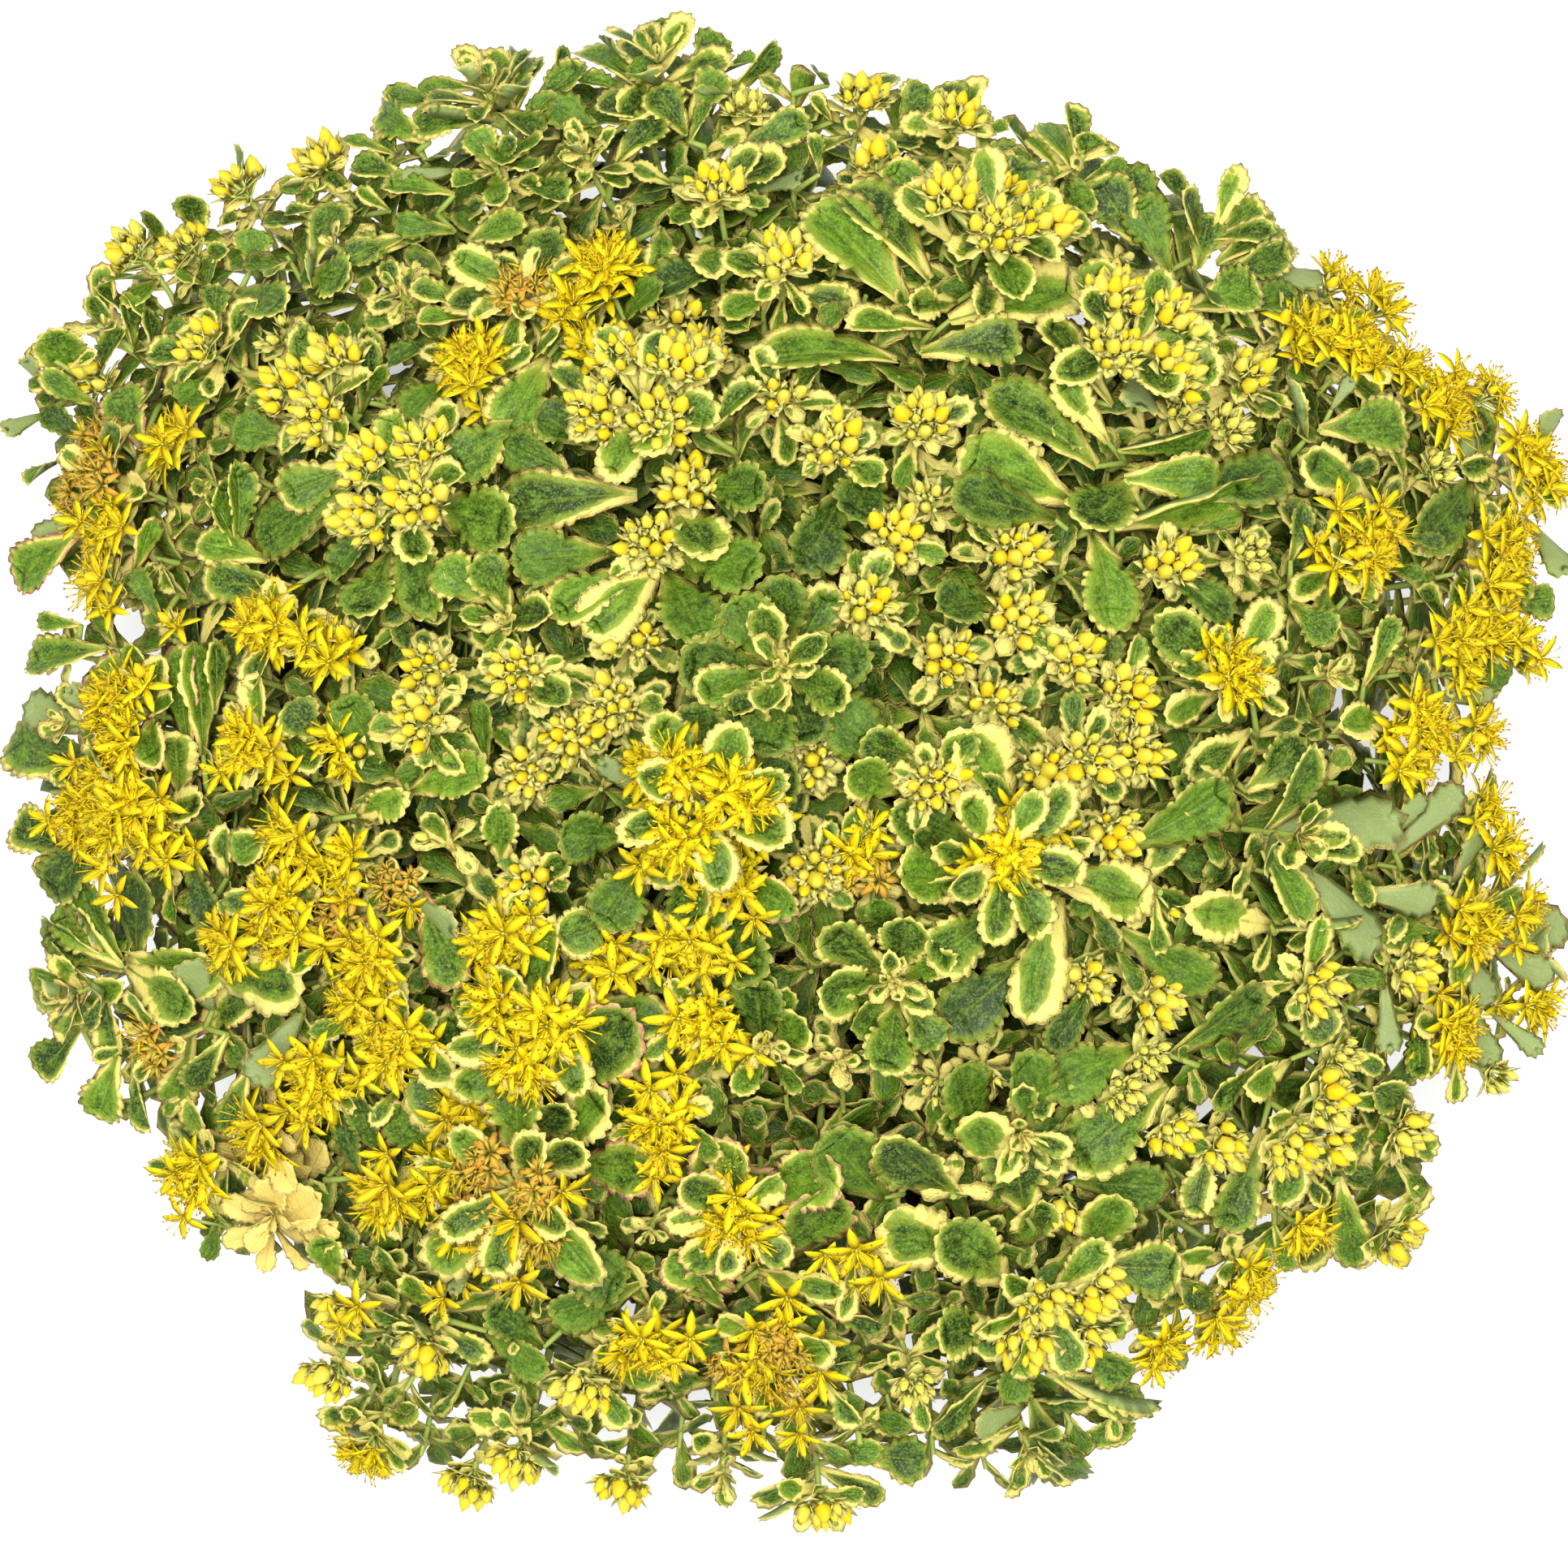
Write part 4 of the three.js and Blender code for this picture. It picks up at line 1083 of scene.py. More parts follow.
# The leaves that stand out in the view: root and tip in pixels, and letters for the look, as LeafLook has them.
LEAVES_SEEN = """
300 230 292 187 b; 245 290 232 242 b; 195 300 187 266 b; 310 330 312 282 b; 400 260 350 255 c;
385 330 405 240 b; 390 235 345 225; 395 300 360 345 e; 290 360 345 375; 190 345 135 322 e;
200 345 158 352; 200 420 155 355 e; 175 400 120 350 e; 150 420 108 365; 190 450 185 375 e;
250 350 215 335; 500 300 430 305 b; 380 340 425 340 b; 560 240 468 222; 480 260 440 232 c;
335 1510 272 1532 y; 335 1508 282 1486 y; 338 1505 330 1463 y; 342 1508 387 1476 y;
342 1512 398 1527 y; 340 1515 376 1562 y; 335 1515 325 1568 y; 326 1412 360 1466 y;
675 440 620 530 b; 650 515 552 578 b; 500 555 560 500 c; 740 500 682 447 c; 785 460 755 420 d;
720 545 662 505 db; 700 580 622 552 db; 785 610 617 612 b; 530 622 630 650 b; 508 618 508 745 b;
750 680 630 690 db; 790 700 675 755 b; 815 700 738 765 cb; 860 600 942 600 db; 828 622 882 682 cb;
835 675 935 705 db; 820 705 868 785 db; 870 535 925 465 c; 630 755 590 685 b; 622 765 582 750;
622 765 672 752; 600 740 538 695 b; 622 770 625 800; 625 768 600 790; 1105 445 943 408 b;
1135 435 1260 412 b; 1350 575 1233 468 b; 1320 617 1185 558 b; 1300 640 1175 605 db; 1040 600 1000 695 db;
1085 570 1050 635 db; 1230 740 1160 745 db; 1365 545 1303 463 c; 1370 500 1288 385 c; 1395 450 1412 500 gb;
1380 555 1500 535 e; 1385 590 1507 588 b; 1450 610 1594 580 db; 1400 592 1338 642 b; 1370 650 1560 600 e;
1345 655 1385 762 b; 1430 705 1523 748 db; 1500 830 1445 770 b; 1540 830 1584 788 c; 1590 745 1645 785 b;
1680 845 1722 758 c; 1625 530 1739 520 b; 1640 505 1668 465 g; 1610 540 1592 460 e; 1690 620 1613 565 c;
1590 690 1613 625; 1500 855 1440 880 c; 1540 850 1585 878 c; 1245 1005 1192 903 bc; 1255 1010 1222 962;
1216 1053 1152 1050 c; 1190 1090 1112 1072 b; 1212 1080 1153 1105 c; 1240 1115 1150 1188 b;
1255 1080 1274 1142 c; 1305 1105 1268 1262 bc; 1290 1045 1336 1048 c; 1285 1080 1427 1108 bc;
1265 1180 1170 1270 db; 1385 1045 1523 972 db; 1380 1145 1500 1222 db; 1345 1210 1310 1290 d;
1400 1290 1303 1338 db; 1285 1400 1262 1303 db; 1205 1400 1184 1316 db; 1098 1200 1016 1150 b;
1105 1200 1120 1136 b; 1100 1150 1078 1112 d; 1095 1212 1014 1226 b; 1097 1220 1055 1270 b;
1103 1230 1093 1324 b; 1110 1225 1158 1292 b; 1108 1205 1162 1186; 1140 935 1063 915 b;
1110 975 1048 950 b; 1165 1050 1130 1030 d; 962 815 964 710 bd; 955 820 903 737 bd; 955 825 836 820 bd;
958 830 892 858 bd; 965 835 938 928 bd; 970 832 1000 914 bd; 975 830 1072 905 bd; 975 815 1062 815 bd;
970 812 1005 787; 950 832 905 875; 605 150 612 66 b; 620 130 640 60 b; 630 130 654 57 e; 600 145 506 143 b;
590 110 511 96; 550 130 471 112; 530 175 451 131; 485 190 421 167; 505 220 431 199; 560 210 494 218 g;
652 145 718 72; 680 110 703 64 e; 635 165 675 110; 610 205 583 158 b; 612 203 632 168; 615 205 665 165;
620 205 661 200; 612 212 612 246; 605 212 558 225; 640 225 692 228; 745 170 676 123 db; 735 190 696 150;
760 200 812 135 b; 722 213 690 190 c; 795 115 716 37; 800 100 743 38 e; 780 118 716 87; 815 60 803 26 b;
815 110 785 70 b; 820 150 734 124 b; 850 95 890 38 b; 895 115 963 54 e; 890 90 922 64; 850 150 889 84 b;
845 165 807 104 b; 850 175 872 120; 905 190 998 142; 905 225 966 190 bc; 930 235 986 213 dg;
880 235 834 210; 895 232 915 208; 890 242 945 250; 870 255 829 268; 1025 150 1000 117 c; 1020 105 1005 80;
1010 215 1000 163 c; 1110 150 1141 104 b; 1180 150 1169 107 b; 1195 160 1241 155 c; 1145 345 1044 220 b;
1120 380 1000 244 b; 1160 270 1092 198 b; 1175 300 1107 230 c; 1255 285 1268 194 b; 1150 405 1044 395 c;
1180 372 1124 375 c; 1215 340 1222 372 c; 1170 395 1343 345 bc; 580 370 504 354 c; 590 390 514 392 pc;
705 395 748 361 c; 655 445 686 403 c; 545 420 480 435 d; 560 470 507 492 db; 575 300 631 265 b;
560 285 484 274 d; 500 290 419 318; 770 395 800 344 db; 915 325 797 345 d; 860 300 882 335 c;
815 280 818 320 c; 1325 215 1300 141 b; 1335 200 1346 163 b; 1335 225 1389 199; 1310 262 1346 235 b;
1400 300 1351 217 b; 1440 270 1387 207 b; 1440 335 1401 239 db; 1475 260 1434 214; 1475 330 1492 260 b;
1500 300 1571 259; 1500 325 1578 271; 1515 330 1601 283; 1500 345 1596 307; 1530 345 1637 332 g;
1465 380 1556 347 b; 1510 380 1606 364 d; 1300 300 1336 261 b; 1372 390 1372 350 b; 1455 420 1466 377 c;
60 480 27 445 g; 100 475 61 410 b; 120 470 136 404; 165 430 155 363 e; 120 500 54 470; 110 545 51 504 d;
175 550 142 474 bp; 165 560 129 507 c; 55 510 3 528 g; 70 570 29 582; 250 420 202 408 b; 265 410 265 349 b;
270 460 221 497 db; 395 455 361 399 b; 425 440 421 398; 355 515 302 489 c; 360 540 282 525 db;
440 500 457 403 e; 450 495 474 452 e; 455 540 492 514 c; 445 510 466 430 e; 440 590 304 656 db;
450 570 341 612 bc; 480 640 400 700 d; 480 680 439 757 b; 105 630 34 667 gp; 100 655 11 717 bp;
165 705 191 639 ep; 330 690 240 664 b; 360 725 244 714; 270 690 283 590 e; 290 680 305 575 e;
200 765 163 700 d; 100 770 42 764; 300 700 262 600 e; 1810 610 1815 523 g; 1890 565 1921 508 gp;
1880 640 1936 702 g; 1730 662 1782 668 d; 1810 590 1779 662 d; 1710 698 1747 702 d; 1810 808 1857 842 db;
1770 860 1847 858 g; 1860 745 1917 738 b; 1710 890 1658 892 c; 1660 735 1694 748 c; 1540 900 1493 952 c;
1535 975 1612 918 b; 1545 1050 1523 1103 c; 1555 1028 1744 995 gb; 1600 1065 1716 1168 gb;
1680 1100 1776 1118 gb; 1718 1050 1808 968 gp; 1700 1040 1762 984 g; 1790 1090 1836 1024 gpb;
1850 1100 1907 1041 pe; 1835 1160 1937 1130 gpb; 1840 1170 1916 1212 gpb; 1800 1170 1846 1238 gb;
1805 1230 1842 1322 g; 1840 1250 1902 1300 gp; 1565 1140 1488 1128 c; 1575 1145 1682 1138 e;
1440 1300 1563 1222 db; 1630 1190 1702 1210; 1600 1230 1642 1282 b; 1705 1205 1716 1300 g;
1750 1240 1748 1332 e; 1555 1305 1500 1362; 1590 1305 1540 1342 c; 1650 1290 1706 1320 c;
1645 1350 1705 1362 c; 1740 1360 1700 1345; 235 935 215 792 bp; 250 930 243 790 e; 265 880 269 788 e;
200 890 104 814 bp; 200 850 150 794; 130 800 26 812; 140 890 79 848 g; 110 900 20 868 gb; 110 960 4 903 b;
120 930 58 918 d; 110 955 60 957 c; 222 980 215 903 bc; 90 1050 12 1010 b; 125 1030 54 1104 db;
395 915 354 868 b; 470 940 419 857 db; 350 900 391 942; 350 1020 284 1056 bc; 440 1005 489 988 c;
235 1050 252 1142 d; 280 1082 265 1030 c; 310 1120 267 1115; 410 1165 353 1196 c; 150 1195 43 1140;
150 1190 63 1119; 150 1182 84 1100 db; 120 1200 36 1160; 170 1190 165 1080 db; 100 1230 26 1226 b;
130 1222 104 1272; 155 1175 247 1216; 155 1190 231 1247 c; 262 1245 228 1188 gb; 255 1190 367 1218 bc;
870 960 855 868 db; 935 950 907 852 b; 910 1000 977 943 db; 800 985 738 940 g; 775 1030 690 1030 db;
800 1055 740 1142 db; 775 1125 688 1160 b; 850 1050 850 1143 b; 890 1100 926 1213 db; 910 1070 966 1122 p;
600 940 590 864 d; 505 975 596 945; 560 1050 524 1004 c; 620 1065 614 1004 c; 520 1100 562 1217 bp;
500 1100 556 1156 gp; 620 1210 558 1240 d; 636 1388 530 1267 bp; 672 1348 774 1254 bp; 845 1260 803 1302 c;
940 1290 930 1208 db; 955 1295 988 1258 b; 945 1300 905 1345; 950 1305 985 1340; 100 1265 45 1327 b;
145 1300 117 1382 b; 165 1310 178 1397; 155 1290 113 1305 c; 280 1275 227 1352; 310 1310 271 1402;
370 1250 309 1342 gb; 440 1265 389 1270; 445 1450 409 1378 d; 470 1420 434 1370 d; 270 1500 255 1553 d;
225 1450 187 1436; 510 1630 464 1630; 420 1580 395 1530; 410 1660 378 1630; 565 1420 473 1378 bp;
635 1405 697 1368 c; 680 1420 737 1348 bc; 705 1435 804 1442 bp; 695 1505 744 1516 c; 675 1535 764 1588 db;
790 1580 676 1626 db; 895 1500 880 1408 bp; 905 1590 827 1548 bp; 895 1615 853 1573 p;
585 1550 554 1592 gp; 495 1340 464 1377 c; 670 1660 603 1610 d; 600 1640 672 1692 d; 660 1588 662 1622 c;
930 1475 1030 1442 bp; 945 1550 1036 1478 bp; 1090 1475 1020 1403 db; 1185 1475 1088 1412 b;
1215 1535 1083 1520 bc; 1235 1450 1204 1376 bc; 1265 1500 1245 1410 b; 1335 1350 1275 1432 db;
1005 1605 1092 1642 p; 935 1565 1042 1596 c; 1015 1700 1057 1762 c; 1060 1740 1122 1760 d;
1005 1790 1072 1795; 1060 1790 1142 1802 b; 1130 1705 1137 1767 c; 1240 1580 1180 1532 b;
1225 1630 1157 1647 b; 1250 1620 1208 1664 bc; 1260 1670 1250 1724 db; 1265 1730 1208 1766 g;
1270 1725 1302 1834 d; 1215 1700 1153 1772; 1435 1335 1324 1432 b; 1345 1350 1292 1447 d;
1325 1455 1441 1465 db; 1330 1560 1377 1478 b; 1345 1560 1460 1565 b; 1330 1650 1392 1704 b;
1350 1590 1391 1632 c; 1290 1690 1413 1737; 1310 1700 1418 1756 e; 1310 1780 1392 1768;
1275 1730 1322 1837 d; 1490 1400 1470 1502 c; 1555 1390 1513 1522; 1575 1440 1600 1487 c;
1610 1440 1632 1488 c; 1570 1510 1590 1572; 1650 1450 1671 1567; 1450 1610 1455 1692 g;
1530 1545 1565 1575 c
"""

# Single open flowers that stand out: middle in pixels and radius in millimetres.
FLOWERS_SEEN = [
    (1515, 835, 8.2), (1650, 628, 7.4), (1718, 658, 7.2), (1645, 700, 7.0), (1695, 690, 7.0), (230, 530, 7.6),
    (905, 1475, 7.6), (880, 1512, 7.6), (925, 1528, 7.0), (970, 1600, 7.4), (915, 1690, 7.6), (910, 1735, 7.4),
    (1055, 1540, 7.8), (1085, 1575, 7.4), (800, 1343, 7.6), (812, 1385, 7.4), (820, 1418, 7.2), (835, 1255, 8.0),
    (890, 1287, 7.2), (1745, 872, 7.8), (1240, 1025, 6.2), (1275, 1030, 6.2), (1245, 1058, 6.0), (1220, 1085, 6.0),
    (1275, 1055, 6.0), (1205, 1060, 5.6), (810, 1032, 8.2), (845, 1040, 7.0), (880, 945, 7.6), (800, 955, 7.4),
    (890, 1085, 7.8), (915, 1100, 7.0), (940, 1005, 7.4), (850, 1160, 7.6), (875, 1165, 6.8), (820, 1155, 7.0),
    (330, 1115, 7.6), (365, 1150, 7.6), (365, 1030, 7.4), (310, 915, 8.0), (335, 925, 7.4), (300, 935, 7.0),
    (340, 770, 7.8), (310, 775, 7.2), (370, 780, 7.0), (405, 815, 7.4), (160, 935, 7.2), (195, 985, 7.8),
    (100, 990, 7.6), (180, 1040, 8.0), (130, 1070, 7.4), (205, 1060, 7.4), (90, 1005, 7.0), (120, 955, 7.0),
    (640, 1260, 7.6), (665, 1285, 7.6), (620, 1255, 7.0), (690, 1245, 7.0), (490, 1290, 8.2), (475, 1310, 7.6),
    (500, 1270, 7.4), (385, 1305, 7.6), (400, 1345, 7.6), (380, 1350, 7.2), (320, 1385, 7.4), (245, 1430, 7.8),
    (240, 1470, 7.4), (475, 1460, 7.4), (490, 1480, 7.0), (1830, 660, 8.4), (1850, 690, 7.6), (1870, 640, 7.4),
    (1835, 720, 7.6), (1780, 490, 7.8), (1755, 500, 7.6), (1800, 480, 7.0), (1870, 540, 7.6), (1640, 425, 7.8),
    (1670, 430, 7.8), (1615, 410, 7.0), (1695, 450, 7.2), (1790, 780, 7.6), (1770, 790, 7.2), (1870, 790, 7.4),
    (1800, 815, 7.2), (1735, 930, 7.6), (1765, 915, 7.2), (1725, 950, 7.0), (1800, 1120, 7.4), (1815, 1165, 7.4),
    (1780, 1260, 7.2), (1785, 1285, 7.0), (1870, 1130, 7.0), (1880, 1240, 7.0), (745, 330, 7.6), (720, 325, 7.2),
    (740, 350, 7.0), (585, 455, 7.6), (600, 445, 7.2), (580, 475, 7.0), (640, 1580, 7.4), (600, 1540, 7.2),
    (650, 1540, 7.0), (560, 1520, 7.4), (550, 1380, 7.4), (575, 1360, 7.4), (555, 1440, 7.2), (130, 655, 7.4),
    (125, 715, 7.4), (150, 650, 6.8), (955, 1660, 7.0), (1010, 1690, 7.4), (985, 1735, 7.2), (930, 1640, 7.2),
    (850, 1650, 7.2), (790, 1650, 7.2), (440, 1610, 7.0), (460, 1180, 7.6), (465, 1155, 7.4), (440, 1235, 7.4),
    (285, 1165, 7.8), (270, 1150, 7.2), (545, 1600, 6.4), (1540, 1600, 7.2), (1500, 1625, 7.2), (1600, 1510, 6.8),
    (1435, 1655, 7.0), (620, 1150, 7.6), (650, 1165, 7.4), (600, 1165, 7.2), (755, 1200, 7.2),
]

# The plant's edge as the view shows it, in pixels, clockwise from the top.
EDGE_SEEN = [
    (805, 28), (890, 35), (960, 55), (1010, 85), (1240, 130), (1300, 140), (1430, 215), (1520, 240), (1600, 280),
    (1640, 330), (1740, 400), (1830, 460), (1915, 510), (1932, 650), (1915, 740), (1880, 830), (1830, 900),
    (1850, 1000), (1890, 1050), (1932, 1170), (1900, 1300), (1850, 1350), (1800, 1320), (1790, 1400), (1780, 1490),
    (1720, 1570), (1610, 1590), (1500, 1650), (1450, 1690), (1415, 1755), (1380, 1800), (1310, 1850), (1230, 1870),
    (1140, 1830), (1060, 1850), (1030, 1915), (950, 1900), (860, 1860), (770, 1860), (690, 1855), (500, 1850),
    (430, 1780), (385, 1640), (390, 1580), (330, 1560), (245, 1555), (200, 1440), (110, 1380), (40, 1310),
    (30, 1180), (50, 1100), (10, 1010), (0, 900), (30, 810), (100, 740), (15, 700), (40, 580), (0, 540), (50, 420),
    (150, 320), (290, 185), (430, 170), (600, 75), (650, 60),
]


def inside(px: float, py: float) -> bool:
    """Whether a pixel lies within the plant's edge."""
    crossings = 0
    for (ax, ay), (bx, by) in zip(EDGE_SEEN, EDGE_SEEN[1:] + EDGE_SEEN[:1]):
        if (ay > py) != (by > py) and px < ax + (py - ay) / (by - ay) * (bx - ax):
            crossings += 1
    return crossings % 2 == 1


@dataclass(frozen=True)
class Dome:
    """Where shoots stand: the canopy's round shape, seen through the photograph's lens."""

    top: float = 280.0
    edge: float = 197.0
    fall: float = 0.8
    reach: float = 960.0
    lean: float = 78.0
    lean_power: float = 1.4
    rise_by_leaf: float = 0.9
    usual_leaf: float = 14.0
    chance: float = 4.0
    mm_per_pixel: float = 0.168
    lens_height: float = 230.0
    lens_distance: float = 1100.0
    axis: tuple = (966.0, 966.0)
    pot: tuple = (950.0, 940.0)
    crown: tuple = (958.0, 955.0)

    def away(self, px: float, py: float) -> float:
        """How far a pixel is from the crown, as a share of the reach."""
        return math.hypot(px - self.crown[0], py - self.crown[1]) / self.reach

    def canopy(self, px: float, py: float) -> float:
        """The height of the canopy over a pixel."""
        round_off = max(1 - self.away(px, py) ** 2, 0) ** self.fall
        return self.edge + (self.top - self.edge) * round_off

    def seen(self, px: float, py: float, z: float) -> Vector:
        """The place at a height that the photograph shows at a pixel."""
        scale = self.mm_per_pixel * (1 - (z - self.lens_height) / self.lens_distance)
        x = (self.axis[0] - self.pot[0]) * self.mm_per_pixel + (px - self.axis[0]) * scale
        y = (self.pot[1] - self.axis[1]) * self.mm_per_pixel + (self.axis[1] - py) * scale
        return Vector((x, y, z))

    def tip(self, px: float, py: float, leaf: float, seed: float) -> tuple[Vector, Vector]:
        """A shoot's tip and the way it points."""
        away = self.away(px, py)
        lift = (leaf - self.usual_leaf) * self.rise_by_leaf + self.chance * (draw(seed, 1) - 0.5)
        place = self.seen(px, py, self.canopy(px, py) + lift * (1 - 0.6 * away))
        lean = math.radians(self.lean * min(away, 1) ** self.lean_power)
        bearing = math.atan2(self.crown[1] - py, px - self.crown[0])
        out = Vector((math.cos(bearing), math.sin(bearing), 0)) * math.sin(lean)
        return place, (out + UP * math.cos(lean)).normalized()


DOME = Dome()


@dataclass
class Curve:
    """A cubic curve through space."""

    points: tuple[Vector, Vector, Vector, Vector]

    def at(self, t: float) -> Vector:
        """The place at a share of the curve."""
        a, b, c, d = self.points
        s = 1 - t
        return a * s ** 3 + b * 3 * s * s * t + c * 3 * s * t * t + d * t ** 3

    def heading(self, t: float) -> Vector:
        """The direction at a share of the curve."""
        return (self.at(min(t + 0.01, 1)) - self.at(max(t - 0.01, 0))).normalized()

    def length(self) -> float:
        """The curve's length."""
        marks = [self.at(i / 16) for i in range(17)]
        return sum((b - a).length for a, b in zip(marks, marks[1:]))

    def back(self, distance: float) -> tuple[Vector, Vector]:
        """The place and direction a distance back from the end."""
        t = max(1 - distance / self.length(), 0.05)
        return self.at(t), self.heading(t)


@dataclass
class Shoot:
    """One shoot: its tip, its stem and what it ends in."""

    px: float
    py: float
    kind: Kind
    leaf: float
    seed: float
    leads: bool = False
    extra: bool = False
    sunk: float = 0.0
    crowded: bool = False
    pale: bool = False
    curve: Curve | None = None

    def __post_init__(self) -> None:
        """Finds the tip, which a filling shoot has deeper in the canopy."""
        self.tip, self.axis = DOME.tip(self.px, self.py, self.leaf, self.seed)
        if self.sunk:
            self.tip = DOME.seen(self.px, self.py, self.tip.z - self.sunk)

    @property
    def flush(self) -> float:
        """How pink its leaf edges are: more at the left, the right and below the middle."""
        low = max(0.0, 1 - math.hypot(self.px - 930, self.py - 1500) / 420)
        return min(1.0, low * 1.5 + max(0, (420 - self.px) / 300) + max(0, (self.px - 1600) / 350))

    @property
    def solid_leaves(self) -> int:
        """How many leaves the solid model has here."""
        if self.extra:
            return 0
        leafy = self.kind is Kind.LEAFY
        if self.leaf >= 20:
            return 7 if leafy else 5
        if self.leaf >= 13:
            return 5 if leafy else 3
        return 4 if leafy else 2


@dataclass(frozen=True)
class LeafPlan:
    """How the leaves of a kind of shoot are set: zones in lengths of the shoot's leaf, angles in degrees."""

    below: float
    rise: float
    steeper: float
    zone: float
    longer: float


ROSETTE = LeafPlan(below=0.8, rise=14, steeper=48, zone=0.6, longer=1.0)
ON_STEM = LeafPlan(below=2.5, rise=4, steeper=30, zone=2.1, longer=1.8)


@dataclass(frozen=True)
class Tier:
    """A stretch of stem with leaves: their number, how far down they stand, their lengths and rises, their margins'
    width and how much painted shade they get.
    """

    count: int
    back: tuple[float, float]
    length: tuple[float, float]
    rise: tuple[float, float]
    cream: float
    age: float


class LeafLook(Enum):
    """The looks a leaf that stands out can have, by letter."""

    BROAD = "b"
    CREAM = "c"
    DARK = "d"
    EDGE_ON = "e"
    GREY_UNDERSIDE = "g"
    PINK_EDGED = "p"
    YELLOW = "y"


# From the tip down: heart leaves or bracts, upper leaves, lower leaves. Lengths are in lengths of the leaf.
LEAFY_TIERS = (
    Tier(7, (0.6, 1.0), (0.18, 0.5), (78, 40), 0.85, 0.0),
    Tier(5, (1.5, 6.0), (0.55, 0.8), (34, 14), 1.1, 0.15),
    Tier(5, (8.0, 30.0), (0.8, 1.05), (8, -8), 0.9, 1.0),
)
HEAD_TIERS = (
    Tier(6, (0.8, 3.4), (0.62, 0.8), (42, 18), 1.25, 0.0),
    Tier(5, (4.0, 10.0), (1.0, 1.35), (22, 4), 1.2, 0.2),
    Tier(5, (11.0, 34.0), (1.5, 2.0), (8, -10), 1.0, 1.0),
)
FILLING_TIERS = (
    Tier(5, (1.0, 7.0), (0.7, 1.1), (40, 12), 0.8, 0.8),
    Tier(4, (8.0, 24.0), (1.0, 1.3), (14, -8), 0.8, 1.2),
)


